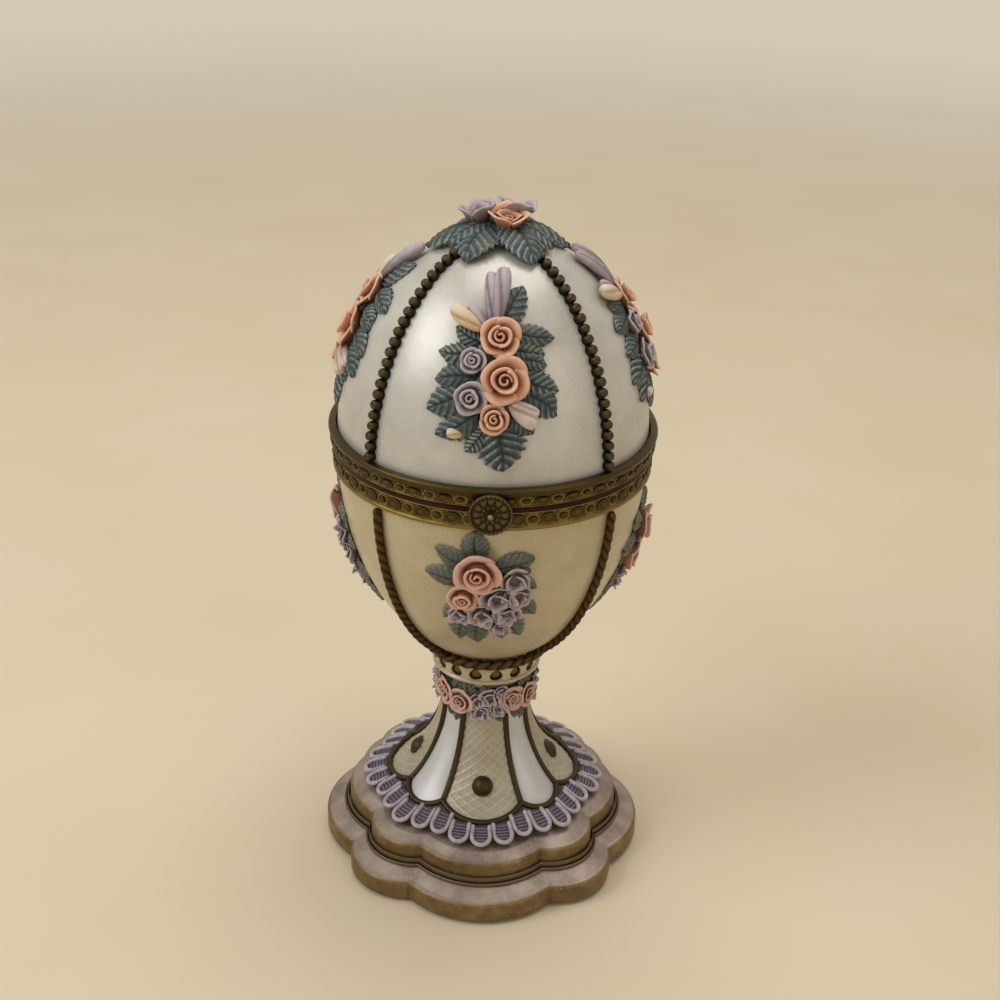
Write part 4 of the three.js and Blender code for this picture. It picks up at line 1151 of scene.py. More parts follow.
def make_bowl_ribs():
    for corner, name in enumerate(CORNERS):
        turn = (corner + 0.5) * math.pi / 2 + BOWL_RIB_TURN
        run = 1.6 + spaced(bowl.length - 2.0, 0.16, 0.8)
        radius, height, dr, dz = bowl.at(run)
        path = polar(radius + ROPE_LIFT * dz, turn, height - ROPE_LIFT * dr)
        rope = sweep(path, polar(dz, turn, -dr), ROPE, sides=16, twist=STRAND_TURN, groove=0.26)
        batch = Batch()
        batch.add(*rope, close_columns=True)
        make_piece(f"rope_{name}", batch, rope_gold, "stand", [f"bowl_rib_{name}"])
    turns = full_turn(480)[:, 0]
    ring = BOWL_FOOT_RADIUS + ROPE_RADIUS + 0.15
    path = polar(ring, turns, BOWL_FOOT + FIT + 0.1)
    twist = 2 * math.pi * ring / RING_TURNS
    batch = Batch()
    rope = sweep(path, polar(1, turns, -0.4), RING_ROPE, sides=18, closed=True, twist=twist)
    batch.add(*rope, close_rows=True, close_columns=True)
    make_piece("rope_round", batch, rope_gold, "stand", ["rope_ring"])


make_bowl_ribs()
print("length of a rope:", round(bowl.length, 1))

# %% [markdown]
# ## The collar
#
# A white collar hides the joint between neck and bowl. It is pierced by sixteen drops, through which gold
# shows. Each sixteenth is a grid between the drop's outline and the sector's edge. This keeps
# the hole's rim clean, which cutting would not. Both outlines have the same number of points.

# %% Outlines of the collar
WINDOWS = 16
WINDOW_MIDDLE, WINDOW_SILL = 45.42, 43.72
DROP_WIDTH, DROP_HEIGHT = 2.8, 3.1
COLLAR = [(43.0, 10.3), (43.08, 10.75), (43.25, 10.98), (43.5, 11.0), (43.66, 10.8), (43.78, 10.62),
          (46.0, 10.72), (47.2, 10.98), (47.7, 11.15), (48.0, 11.15)]


def collar_radius(height):
    heights, radii = np.array(COLLAR).T
    return np.interp(height, heights, radii)


def drop_outline(width, height, steps):
    """Drop with its point at the top, from its middle bottom and round."""
    turn = math.pi + full_turn(steps)[:, 0]
    taper = np.abs(np.sin(turn / 2)) ** 1.2
    return np.stack([width / 2 * np.sin(turn) * taper * 1.3, height / 2 * np.cos(turn)], -1)


def sector_outline(half, foot, top, middle, steps):
    """Sector's edge by the same count, from its middle bottom and round, with its corners."""
    side = steps // 4
    lower, upper = foot - middle, top - middle
    rise = np.linspace(lower, upper, side + 1)[:-1]
    low_half = np.linspace(0, half, side // 2 + 1)[:-1]
    left = [(-x, lower) for x in low_half] + [(-half, y) for y in rise]
    along_top = [(x, upper) for x in np.linspace(-half, half, side + 1)[:-1]]
    right = [(half, y) for y in np.linspace(upper, lower, side + 1)[:-1]]
    back = [(x, lower) for x in np.linspace(half, 0, side // 2 + 1)[:-1]]
    return np.array(left + along_top + right + back)


print("points of a drop:", len(drop_outline(DROP_WIDTH, DROP_HEIGHT, 32)))

# %% [markdown]
# The gold in the windows is one object: a ring inside the collar, and a low pillow behind each window,
# which catches a small light as the real ones do.

# %% Collar
OUTLINE_POINTS = 32
AROUND = 10.9            # radius at which the windows are laid out
DROP_REACH = 10.35
# From a drop's rim to its middle: share of its outline, lift and paint
DROP = [(1.04, -0.35, 0.1), (0.98, -0.1, 0.2), (0.8, 0.08, 0.5), (0.5, 0.2, 0.8), (0.2, 0.26, 0.9),
        (0, 0.27, 0.9)]


def make_collar():
    steps = OUTLINE_POINTS
    sector = math.pi / WINDOWS
    batch, drops = Batch(), Batch()
    hole = drop_outline(DROP_WIDTH, DROP_HEIGHT, steps)
    edge = sector_outline(sector * AROUND, WINDOW_SILL, NECK_TOP, WINDOW_MIDDLE, steps)
    shares, lift, drop_paint = np.array(DROP).T
    collar_rings = np.stack([hole + (edge - hole) * share for share in (0, 0.08, 0.3, 0.6, 1)], 1)
    drop_rings = np.stack([hole * share for share in shares], 1)
    for number in range(WINDOWS):
        turn = (2 * number + 1) * sector
        height = WINDOW_MIDDLE + collar_rings[..., 1]
        around = turn + collar_rings[..., 0] / AROUND
        batch.add(polar(collar_radius(height), around, height), close_rows=True)
        around = turn + drop_rings[..., 0] / AROUND
        points = polar(DROP_REACH + lift, around, WINDOW_MIDDLE + drop_rings[..., 1])
        drops.add(points, drop_paint, close_rows=True)
    heights = np.array([43.0, 43.04, 43.08, 43.16, 43.25, 43.38, 43.5, 43.6, 43.66, WINDOW_SILL])
    turns = full_turn(8 * WINDOWS)
    batch.add(polar(collar_radius(heights)[None, :], turns, heights[None, :]), close_rows=True)
    make_piece("pierced_collar", batch, shaded_cream, "stand", ["collar"], thickness=0.5, sharp=50)
    liner = turned([(9.35, 43.1), (10.1, 43.1), (10.1, 47.9), (9.35, 47.9)], 96)
    drops.add(liner, 0.4, close_rows=True, close_columns=True)
    make_piece("collar_drops", drops, clasp_gold, "stand", ["collar_liner"], sharp=50)


make_collar()
print("collar windows:", WINDOWS)

# %% [markdown]
# ## Leaves
#
# The leaves were painted dark, and a dry brush then left pale grey-green on the ribs and the rim. The
# paint value is high there. Clouds of a warmer mix keep two leaves from looking alike.

# %% Leaf paint
LEAF_STEPS = (0.16, 0.44, 0.72, 1.0)


def leaf_paint(name, cool_shades, warm_shades):
    """Dark paint with a dry brush on the relief, from four shades each of a cool and a warm mix."""
    finish = Finish(name, Specular_IOR_Level=0.35)
    grain = finish.noise(0.6, 4.0, 0.65)
    clouds = finish.noise(6.0, 2.0)
    value = finish.maths("ADD", finish.paint(), finish.mixed(0.6, -0.2, grain))
    cool = finish.ramp(value, list(zip(LEAF_STEPS, cool_shades)))
    warm = finish.ramp(value, list(zip(LEAF_STEPS, warm_shades)))
    shades = finish.tint(finish.ramp(clouds, [(0.46, 0.0), (0.66, 0.85)]), cool, warm)
    # Painted shade: near black in the creases and where leaves overlap, by occlusion.
    shades = finish.over(shades, "#1c2423", finish.depth(1.0), [(0.35, 0.85), (0.9, 0.0)])
    return finish.complete(shades, grain, 0.4, 0.62, finish.noise(0.3, 3.0), 0.03)


lid_leaf = leaf_paint(
    "lid leaf paint",
    ("#121718", "#2a3638", "#4e5d5f", "#a6afaa"), ("#191b19", "#3b4240", "#626861", "#acaca2"),
)
bowl_leaf = leaf_paint(
    "bowl leaf paint",
    ("#1e201f", "#454b48", "#656b63", "#8f938a"), ("#23201c", "#544d47", "#777065", "#9c968a"),
)
print("leaf paints:", lid_leaf.name, "and", bowl_leaf.name)

# %% [markdown]
# A leaf is a flat grid: its outline swells and comes to a point, with teeth that lean towards the tip. Ribs
# are ridges that slant from a groove along the middle. It is drawn flat and laid on the egg.

# %% Leaf form


def from_axis(base, tip, along, aside, lift):
    """Flat points by millimetres along the line from base to tip, to its side and outwards."""
    base, tip = np.array(base, float), np.array(tip, float)
    heading = (tip - base) / np.linalg.norm(tip - base)
    side = np.array([heading[1], -heading[0]])
    place = base + along[..., None] * heading + aside[..., None] * side
    return np.concatenate([place, lift[..., None]], -1)


def leaf(base, tip, width, seed, rise=1.05, teeth=6, cut=1.0):
    """Flat leaf and its paint. Cut is the depth of its veins."""
    draw = random.Random(seed)
    length = math.dist(base, tip)
    v = np.linspace(0, 1, 9 * teeth + 1)[:, None]
    u = np.linspace(-1, 1, 19)[None, :]
    swell = v ** 0.5 * (1 - v) ** draw.uniform(0.62, 0.8)
    swell = swell / swell.max()
    beat = [draw.uniform(-0.12, 0.12) for _ in range(2)]
    tooth = np.where(u < 0, np.mod(v * teeth + beat[0], 1), np.mod(v * teeth + beat[1], 1))
    cut = cut * draw.uniform(0.6, 1.1)
    jag = 1 + 0.34 * cut * (tooth - 0.55) * (v > 0.1)
    aside = u * width / 2 * swell * np.where(np.abs(u) > 0.8, jag, 1)
    aside = aside + draw.uniform(-0.36, 0.36) * length * v * (1 - v)
    along = length * (v + 0.06 * np.abs(u) * (1 - v))
    slant = draw.uniform(1.2, 1.7)
    beats = teeth * v - slant * np.abs(u) + beat[0] * np.sign(u)
    ribs = 0.7 * np.cos(2 * math.pi * beats) + 0.45 * np.cos(4 * math.pi * beats + 1.3)
    spine = np.exp(-(u / 0.1) ** 2)
    curl = draw.uniform(0.1, 0.3) * np.sin(math.pi * v * draw.uniform(1.2, 2.4) + draw.uniform(0, 3))
    lift = rise * (0.14 + 0.86 * (1 - np.abs(u) ** 2.2)) * (0.5 + 0.5 * np.sin(math.pi * v))
    lift = lift + (0.15 * cut * ribs * (1 - spine) - 0.3 * spine) * np.minimum(4 * (1 - v), 1)
    lift = np.maximum(lift + curl * u, 0.12)
    paint = 0.31 + 0.3 * cut * ribs * (1 - spine) - 0.3 * spine + 0.34 * np.abs(u) ** 7 + 0.12 * v
    return from_axis(base, tip, along, aside, lift), np.clip(paint, 0, 1)


print("points in a leaf:", leaf((0, 0), (0, 8), 4, 1)[0].shape[:2])

# %% [markdown]
# ## Roses
#
# A flower is made of sheets. A petal rises from its foot, leans out and rolls over at its rim. A rolled
# sheet is the heart of a rose, and a low mound closes the flower from below. The paint value rises from
# 0 at a petal's foot to 1 at its rim.

# %% Petals and hearts


def petal(turn, spread, inner, outer, low, high, curl, skew=0.05, droop=0.3, wave=0.0, phase=0.0):
    """One sheet that climbs and flares from its foot to its rim. Its corners droop, and its rim rolls out."""
    u = np.linspace(-1, 1, 15)[:, None]
    v = np.linspace(0, 1, 9)[None, :]
    fan = turn + 0.5 * spread * u * (0.7 + 0.3 * v)
    roll = np.clip((v - 0.68) / 0.32, 0, 1) ** 2
    corner = np.abs(u) ** 2
    peak = np.exp(-(u / 0.3) ** 2)
    reach = inner + (outer - inner) * v ** 0.85 * (1 - 0.22 * corner + 0.06 * peak) + curl * roll
    reach = reach * (1 + skew * u)
    fold = wave * v ** 1.5 * np.sin(6 * u + phase)
    height = low + (high - low) * v ** 1.1 * (1 - droop * corner) - 0.9 * curl * roll + fold
    reach = reach + 0.6 * fold
    # The paint rises towards the rim, so the finish paints shade at the petal's foot and a highlight at its
    # rim.
    return points_of(reach * np.sin(fan), reach * np.cos(fan), height), 0.04 + 0.96 * v ** 1.6


def heart(radius, depth, phase, rolls=1.15):
    """Rolled middle of a rose."""
    t = np.linspace(0, 1, 28)[:, None]
    v = np.linspace(0, 1, 5)[None, :]
    angle = phase + 2 * math.pi * rolls * t
    reach = radius * (0.08 + 0.2 * t) * (0.9 + 0.2 * v)
    height = depth * (0.2 + v * (0.72 - 0.08 * t))
    # Low paint: the heart takes the flower's painted shade.
    return points_of(reach * np.sin(angle), reach * np.cos(angle), height), 0.02 + 0.62 * v ** 2


def plug(radius, depth):
    """Low mound that closes a flower from below."""
    section = np.array([(0, 0.42), (0.25, 0.4), (0.45, 0.25), (0.55, 0.0), (0.4, -0.12)])
    angle, reach = full_turn(16), radius * section[None, :, 0]
    # The mound takes the flower's deepest colour, a painted shade under the petals.
    return points_of(reach * np.sin(angle), reach * np.cos(angle), depth * section[None, :, 1]), 0.05


print("points in a petal:", petal(0, 2, 0.2, 1, 0, 1, 0.1)[0].shape[:2])

# %% [markdown]
# A rose is a rolled heart with whorls of petals round it, and a blossom is two whorls of crumpled petals.
# The sheets get a real thickness later, and one round of subdivision makes the rims fat and soft, like
# cast resin.

# %% Roses and blossoms
LARGE_ROSE = 2.9         # radius from which a rose has the larger whorls
# Whorls: petals, spread, reach at the foot and the rim, height, roll of the rim, droop
WHORLS = [(2, 3.7, 0.16, 0.52, 0.98, 0.05, 0.12), (4, 2.15, 0.3, 0.92, 0.72, 0.13, 0.36)]
SMALL_WHORLS = [(2, 3.6, 0.18, 0.54, 0.96, 0.06, 0.12), (3, 2.6, 0.32, 0.9, 0.74, 0.13, 0.34)]


def rose(radius, depth, seed):
    """Sheets of a rose that stands on Z = 0."""
    draw = random.Random(seed)
    sheets = [heart(radius, 0.98 * depth, draw.uniform(0, 6))]
    whorls = WHORLS if radius > LARGE_ROSE else SMALL_WHORLS
    for count, spread, inner, outer, high, curl, droop in whorls:
        start = draw.uniform(0, 6)
        for number in range(count):
            turn = start + 2 * math.pi * number / count + draw.uniform(-0.2, 0.2)
            tall = high * depth * draw.uniform(0.88, 1.06)
            reach = outer * radius * draw.uniform(0.92, 1.05)
            sheets.append(petal(turn, spread, inner * radius, reach, -0.1 * depth, tall, curl * radius,
                                skew=0.07, droop=droop, wave=0.04 * depth, phase=draw.uniform(0, 6)))
    return sheets


def blossom(radius, depth, seed):
    """Sheets of an open flower with folded, crumpled petals."""
    draw = random.Random(seed)
    sheets = []
    for count, outer, high, spread in ((4, 0.95, 0.72, 2.0), (3, 0.55, 1.0, 2.6)):
        start = draw.uniform(0, 6)
        for number in range(count):
            turn = start + 2 * math.pi * number / count + draw.uniform(-0.3, 0.3)
            reach = outer * radius * draw.uniform(0.85, 1.1)
            tall = high * depth * draw.uniform(0.8, 1.05)
            sheets.append(petal(turn, spread, 0.1 * radius, reach, -0.1 * depth, tall, 0.05 * radius,
                                skew=0.12, droop=0.5, wave=0.13 * depth, phase=draw.uniform(0, 6)))
    return sheets


print("sheets in a large rose:", len(rose(4, 2.5, 0)))

# %% [markdown]
# ## Flower paints
#
# The roses are peach on the lid, pink on the bowl and a faded pink on the neck, deep in the heart and
# pale on the rims, which is painted shade in the heart and a painted highlight on the rims. Others are a
# greyed lilac. One function makes each from three shades.

# %% Flower paints


def flower_paint(name, deep, middle, rim):
    finish = Finish(name, Specular_IOR_Level=0.4, Subsurface_Weight=0.08, Subsurface_Scale=0.5 * MM)
    grain = finish.noise(1.6, 3.0)
    value = finish.maths("ADD", finish.paint(), finish.mixed(0.5, -0.18, grain))
    # Darker towards a petal's foot and paler at its rim: painted shade in the heart and a painted highlight
    # on the rims; occlusion adds painted shade in the corners.
    shades = finish.ramp(value, [(0.1, deep), (0.55, middle), (1.0, rim)])
    shades = finish.over(shades, deep, finish.depth(1.3), [(0.25, 0.7), (0.85, 0.0)])
    return finish.complete(shades, grain, 0.4, 0.58, finish.noise(0.5, 3.0), 0.02)


peach = flower_paint("peach rose", "#7f4130", "#ba7559", "#e6b79a")
pink = flower_paint("pink rose", "#824538", "#b97a68", "#deb3a2")
faded_pink = flower_paint("faded pink rose", "#7a4a42", "#b07f72", "#d6afa3")
lilac = flower_paint("lilac flower", "#524650", "#85757e", "#b9adb2")
pale_bud = flower_paint("pale bud", "#8f6c48", "#c7a478", "#e2d2b8")
blush = flower_paint("blush bud", "#77584f", "#b0948a", "#dac9bf")
print("flower paints:", [paint.name for paint in (peach, pink, faded_pink, lilac, pale_bud, blush)])

# %% [markdown]
# ## Buds
#
# A bud is a spindle of folded petals. Its section is nearly round, with a groove that winds along it where
# one petal wraps over the next.

# %% Bud form


def bud(base, tip, width, seed, lift=0.35):
    """Bud that lies flat, and its paint."""
    draw = random.Random(seed)
    v = np.linspace(0, 1, 26)[:, None]
    angle = full_turn(22).T
    swell = v ** 0.55 * (1 - v) ** 0.3
    swell = swell / swell.max()
    fold = draw.uniform(0.8, 1.3) + 1.5 * v
    groove = sum(np.exp(-(np.angle(np.exp(1j * (angle - fold - gap))) / 0.22) ** 2) for gap in (0, 2.3))
    reach = width / 2 * swell * (1 - 0.22 * groove)
    rise = lift + width * 0.4 + 0.85 * reach * np.sin(angle)
    # Paler towards the tip; darker on the side towards the shell and in the groove, which is painted shade.
    paint = np.clip(0.35 + 0.5 * v + 0.1 * np.sin(angle) - 0.5 * groove, 0, 1)
    return from_axis(base, tip, math.dist(base, tip) * v, reach * np.cos(angle), rise), paint


print("points in a bud:", bud((0, 0), (0, 8), 3, 1)[0].shape[:2])

# %% [markdown]
# ## Sprays on the lid and the bowl
#
# The same spray is repeated on all four sides. A list gives each leaf as its base, tip and width, and
# each flower as its place and radius, in millimetres from the middle of the spray. The places were read
# off the front spray.

# %% Spray lists
LID_LEAVES = [
    ((0.2, 10.0), (-0.2, -10.5), 7.5),
    ((0.4, 9.0), (4.4, 17.0), 5.6), ((2.6, 8.6), (10.4, 6.9), 4.6), ((2.4, 5.4), (8.6, 4.2), 4.2),
    ((3.4, 3.4), (9.0, 2.2), 3.8), ((4.0, 0.6), (11.4, -2.4), 5.2), ((4.8, -2.4), (11.2, -6.7), 5.6),
    ((2.6, -5.4), (7.0, -9.4), 4.2), ((-1.8, 6.2), (-6.9, 8.8), 3.4), ((-3.0, 5.0), (-10.0, 4.1), 4.2),
    ((-3.0, 0.4), (-10.5, -0.9), 4.8), ((-3.8, -2.2), (-11.9, -6.2), 5.8),
    ((-2.6, -5.0), (-10.2, -10.4), 5.0), ((0.0, -7.4), (1.9, -16.0), 8.6), ((-1.6, -8.8), (-4.6, -12.8), 3.4),
]
LID_ROSES = [((0.7, 7.1), 3.6, 3.2), ((1.6, -0.2), 4.3, 3.5), ((0.1, -6.7), 2.8, 2.8)]
LID_LILACS = [((-3.7, 3.0), 2.3, 2.6), ((-3.95, -3.4), 3.0, 2.9)]
LID_LILAC_BUDS = [((-0.8, 9.4), (-1.1, 19.6), 2.3), ((0.2, 9.6), (1.1, 20.4), 3.0),
                  ((-1.2, 7.6), (-4.6, 12.9), 2.1)]
LID_BLUSH_BUDS = [((2.4, -3.9), (7.3, -8.0), 3.0), ((2.6, -3.4), (7.8, -6.2), 2.0)]
LID_PALE_BUDS = [((-2.2, 8.2), (-7.6, 11.8), 3.1), ((-5.2, -9.9), (-8.0, -9.6), 1.8)]

BOWL_LEAVES = [
    ((-0.6, 3.2), (0.2, -16.5), 10.0),
    ((-1.9, 2.6), (-2.6, 8.2), 5.2), ((-3.4, 0.4), (-9.9, 3.9), 3.9), ((-4.0, -2.6), (-11.8, -1.7), 4.5),
    ((1.0, 0.4), (8.2, 2.5), 4.6), ((1.8, -0.9), (7.6, -0.4), 3.4), ((4.6, -2.8), (8.8, -4.5), 3.0),
    ((-4.0, -8.6), (-8.2, -13.4), 3.6), ((-3.0, -9.8), (-5.0, -20.0), 5.0),
    ((-1.2, -11.6), (-1.6, -20.8), 5.2), ((2.0, -11.8), (2.8, -19.0), 4.4),
    ((3.0, -9.0), (6.2, -18.4), 5.2), ((4.4, -7.4), (8.8, -11.8), 4.0),
]
BOWL_ROSES = [((-2.0, 0.0), 4.3, 3.4), ((-4.4, -6.0), 3.0, 2.9)]
BOWL_LILACS = [((4.6, -1.9), 3.0, 2.6), ((5.2, -5.6), 2.9, 2.4), ((1.7, -5.8), 3.5, 3.1),
               ((-0.9, -10.3), 3.2, 2.7), ((-5.0, -11.0), 2.4, 2.1), ((3.4, -10.0), 3.0, 2.5),
               ((2.1, -13.8), 2.6, 2.2)]
print("leaves on a lid spray:", len(LID_LEAVES), "and on a bowl spray:", len(BOWL_LEAVES))

# %% [markdown]
# The sprays are made in batches: one object for the leaves, and one for each group in a list of roses,
# lilac flowers and buds. The leaves stand for the plain solid of the leaves, and the first group of heads for
# that of the flowers.

# %% Make the sprays
LID_SPRAY_RUN = 19.2
BOWL_SPRAY_RUN = bowl.length - 8.9
BOWL_SETTLE = 3.4        # the other three bowl sprays sit this much lower than the front one
HEAD_LIFT = 0.45         # a flower sits this far off the shell, on its leaves
PETAL_THICKNESS = {rose: 0.5, blossom: 0.36}


def add_heads(batch, profile, turn, run, heads, seed, form):
    for number, (offset, radius, depth) in enumerate(heads):
        for shape, paint in [*form(radius, depth, seed + number), plug(radius, depth)]:
            spot = set_down(profile, turn, run, offset, shape, HEAD_LIFT)
            batch.add(spot, paint, close_rows=np.ndim(paint) == 0)


def make_spray(part, body, side, profile, run, leaves, groups, cut):
    """Leaves, then one object for each group of heads or buds: name, form, items, finish and slot."""
    turn = SIDES.index(side) * math.pi / 2
    seed = 100 * SIDES.index(side) + (1000 if part == "bowl" else 0)
    batch = Batch()
    for number, (base, tip, width) in enumerate(leaves):
        flat, paint = leaf(base, tip, width, seed + number, cut=cut)
        batch.add(lay(profile, turn, run, flat), paint)
    name, green = f"{part}_foliage_{side}", lid_leaf if part == "lid" else bowl_leaf
    make_piece(name, batch, green, body, [f"{part}_leaves_{side}"], thickness=0.4)
    stands_for = [f"{part}_flowers_{side}"]
    for group, form, items, finish, slot in groups:
        batch = Batch()
        name = f"{part}_{group}_{side}"
        if form is bud:
            for number, (base, tip, width) in enumerate(items):
                flat, paint = bud(base, tip, width, seed + number)
                batch.add(lay(profile, turn, run, flat), paint, close_columns=True)
            make_piece(name, batch, finish, body)
        else:
            add_heads(batch, profile, turn, run, items, seed, form)
            thickness = PETAL_THICKNESS[form]
            make_piece(name, batch, finish, body, stands_for, thickness=thickness, rounds=1)
            stands_for = ()


LID_GROUPS = [
    ("roses", rose, LID_ROSES, peach, "peach_flower"), ("lilacs", rose, LID_LILACS, lilac, "lilac_flower"),
    ("lilac_buds", bud, LID_LILAC_BUDS, lilac, "lilac_flower"),
    ("blush_buds", bud, LID_BLUSH_BUDS, blush, "pink_flower"),
    ("pale_buds", bud, LID_PALE_BUDS, pale_bud, "peach_flower"),
]
BOWL_GROUPS = [
    ("roses", rose, BOWL_ROSES, pink, "pink_flower"), ("lilacs", blossom, BOWL_LILACS, lilac, "lilac_flower"),
]
for side in SIDES:
    make_spray("lid", "lid", side, lid, LID_SPRAY_RUN, LID_LEAVES, LID_GROUPS, 1.0)
    settle = 0 if side == "front" else BOWL_SETTLE
    make_spray("bowl", "stand", side, bowl, BOWL_SPRAY_RUN - settle, BOWL_LEAVES, BOWL_GROUPS, 0.5)
print("sprays on each half:", len(SIDES))

# %% [markdown]
# ## The garland
#
# A wreath of pink roses, lilac flowers and small leaves hides the top of the neck. A quarter of it
# is listed as turn, height and radius, and repeated four times.

# %% Garland
GARLAND_ROSES = [(-30, 37.4, 2.9), (-60, 38.4, 2.8), (36, 38.0, 2.9)]
GARLAND_LILACS = [(5, 38.9, 2.5), (-8, 38.2, 2.2), (-6, 35.5, 2.1), (15, 36.6, 2.0), (18, 40.2, 1.9)]
# Garland leaves: turn and height of the base and of the tip, width
GARLAND_LEAVES = [(-20, 38, -24, 43, 3.0), (14, 37, 21, 32.8, 3.0), (48, 38, 57, 42.4, 3.4),
                  (50, 37, 60, 36.0, 3.2), (-36, 37, -39, 31.8, 2.8), (-4, 38, 2, 42.6, 2.4),
                  (40, 36, 42, 32.6, 2.4)]
GARLAND_DEPTH = 1.75


def make_garland():
    roses, lilacs, leaves = Batch(), Batch(), Batch()
    for quarter in range(4):
        for batch, heads, form in ((roses, GARLAND_ROSES, rose), (lilacs, GARLAND_LILACS, blossom)):
            for number, (turn, height, radius) in enumerate(heads):
                angle = math.radians(90 * quarter + turn)
                head = [((0, 0), radius, GARLAND_DEPTH)]
                add_heads(batch, neck, angle, height - NECK_FOOT, head, 50 * quarter + 7 * number, form)
        for number, (turn, height, tip_turn, tip_height, width) in enumerate(GARLAND_LEAVES):
            aside = math.radians(tip_turn - turn) * (NECK_RADIUS + 0.5)
            flat, paint = leaf((0, 0), (aside, tip_height - height), width, 20 * quarter + number, 0.8, 5)
            angle = math.radians(90 * quarter + turn)
            leaves.add(lay(neck, angle, height - NECK_FOOT, flat), paint)
    finish, slot = faded_pink, "pink_flower"
    make_piece("garland_roses", roses, finish, "stand", ["neck_roses"], thickness=0.32, rounds=1)
    make_piece("garland_lilacs", lilacs, lilac, "stand", thickness=0.3, rounds=1)
    section = [(-0.1, 35.6), (0.6, 37), (0.7, 39), (0, 41)]
    ring = turned([(NECK_RADIUS + lift, height) for lift, height in section])
    leaves.add(ring, 0.35, close_rows=True, close_columns=True)
    make_piece("garland_leaves", leaves, bowl_leaf, "stand", ["neck_leaves"], thickness=0.2)


make_garland()
print("garland heads:", 4 * (len(GARLAND_ROSES) + len(GARLAND_LILACS)))

# %% [markdown]
# ## The crown
#
# Three open roses stand on top, a peach one in front and two lilac ones, over six large leaves and two
# small ones that hang down the lid. The roses are seen from the side, so their petals are tall and the
# outer ones lean far out.

# %% Crown roses
# Crown roses: turn, reach, radius, height left under the node's top, turn of the seam, finish, slot
CROWN_ROSES = {
    "front": (35, 2.5, 3.9, 0.9, -0.25, peach, "peach_flower"),
    "left": (-96, 3.6, 3.7, 0.6, 0.35, lilac, "lilac_flower"),
    "right": (125, 3.4, 3.8, 0.1, 0.9, lilac, "lilac_flower"),
}
CROWN_WHORLS = [(3, 2.5, 0.22, 0.56, 0.8, 0.05, 0.28), (3, 2.3, 0.3, 0.9, 0.96, 0.12, 0.34)]


def crown_rose(radius, depth, seed, seam):
    """Open rose, like a cup of three petals, with the seam between two of them at a given turn."""
    draw = random.Random(seed)
    sheets = [heart(radius, 0.62 * depth, draw.uniform(0, 6), 1.4)]
    for count, spread, inner, outer, high, curl, droop in CROWN_WHORLS:
        for number in range(count):
            turn = math.pi + seam + 2 * math.pi * (number + 0.5) / count
            tall = high * depth * draw.uniform(0.88, 1.0)
            sheets.append(petal(turn, spread, inner * radius, outer * radius, 0.0, tall, curl * radius,
                                skew=0.05, droop=droop, wave=0.05 * depth, phase=draw.uniform(0, 6)))
    return sheets


print("petals of a crown rose:", sum(whorl[0] for whorl in CROWN_WHORLS))

# %% [markdown]
# The crown's leaves start at the axis, where bending round it would pinch them. So they are laid straight
# down the mound, and their sides fall a little. A low hub fills the space between the roses.

# %% Crown leaves and blooms
# Crown leaves: turn, length and width
CROWN_LEAVES = [(-30, 12.4, 8.6), (31, 12.8, 8.0), (98, 13.6, 7.6), (156, 12.6, 8.4), (-150, 12.6, 8.4),
                (-86, 13.6, 7.6), (64, 11.0, 6.0), (-58, 10.6, 5.6)]
CROWN_FALL = 44          # a leaf's sides fall by the square of their distance over this
CROWN_LEAN = math.radians(9)


def lay_on_mound(turn, flat):
    """Lay a leaf that starts at the top, with its full width near the axis."""
    radius, height, dr, dz = mound.at(mound.length + flat[..., 1])
    out = np.stack([dz * np.sin(turn), -dz * np.cos(turn), -dr], -1)
    aside = np.array([math.cos(turn), math.sin(turn), 0])
    fall = flat[..., 0] ** 2 / CROWN_FALL
    return polar(radius, turn, height) + flat[..., :1] * aside + (flat[..., 2] - fall)[..., None] * out


def make_crown():
    batch = Batch()
    for number, (turn, length, width) in enumerate(CROWN_LEAVES):
        flat, paint = leaf((0, -0.9), (0, -length), width, 300 + number, 1.2, 8)
        flat[..., 2] += 0.25 * (number % 2)
        batch.add(lay_on_mound(math.radians(turn), flat), paint)
    hub = [(0, LID_TOP + FIT), (4.4, LID_TOP - 0.2), (6.0, LID_TOP)]
    hub += [(5.0, CROWN_TOP - 0.4), (0, CROWN_TOP + 0.6)]
    batch.add(turned(hub, 48), 0.05, close_rows=True)
    make_piece("crown_foliage", batch, lid_leaf, "lid", ["crown_leaves"], thickness=0.6)
    foot = CROWN_TOP + 0.3
    for number, (name, values) in enumerate(CROWN_ROSES.items()):
        turn, reach, radius, under, seam, finish, slot = values
        batch = Batch()
        angle = math.radians(turn)
        place = polar(reach, angle, foot)
        lean = np.array(Matrix.Rotation(CROWN_LEAN, 3, Vector((math.cos(angle), math.sin(angle), 0))))
        depth = 0.92 * (high_of(f"crown_rose_{name}")[2] - foot) - under
        for shape, paint in [*crown_rose(radius, depth, 40 + number, seam), plug(radius, 0.75 * depth)]:
            batch.add(place + shape @ lean.T, paint, close_rows=np.ndim(paint) == 0)
        make_piece(f"crown_bloom_{name}", batch, finish, "lid", [f"crown_rose_{name}"],
                   thickness=0.42, rounds=1)


make_crown()
print("crown leaves:", len(CROWN_LEAVES))

# %% [markdown]
# ## Clasp
#
# A stamped rosette covers the gap at the front and snaps over a small catch. Its relief is a height by
# radius and turn: a roped rim, twelve petals, a ring of grains and a bead in the middle.

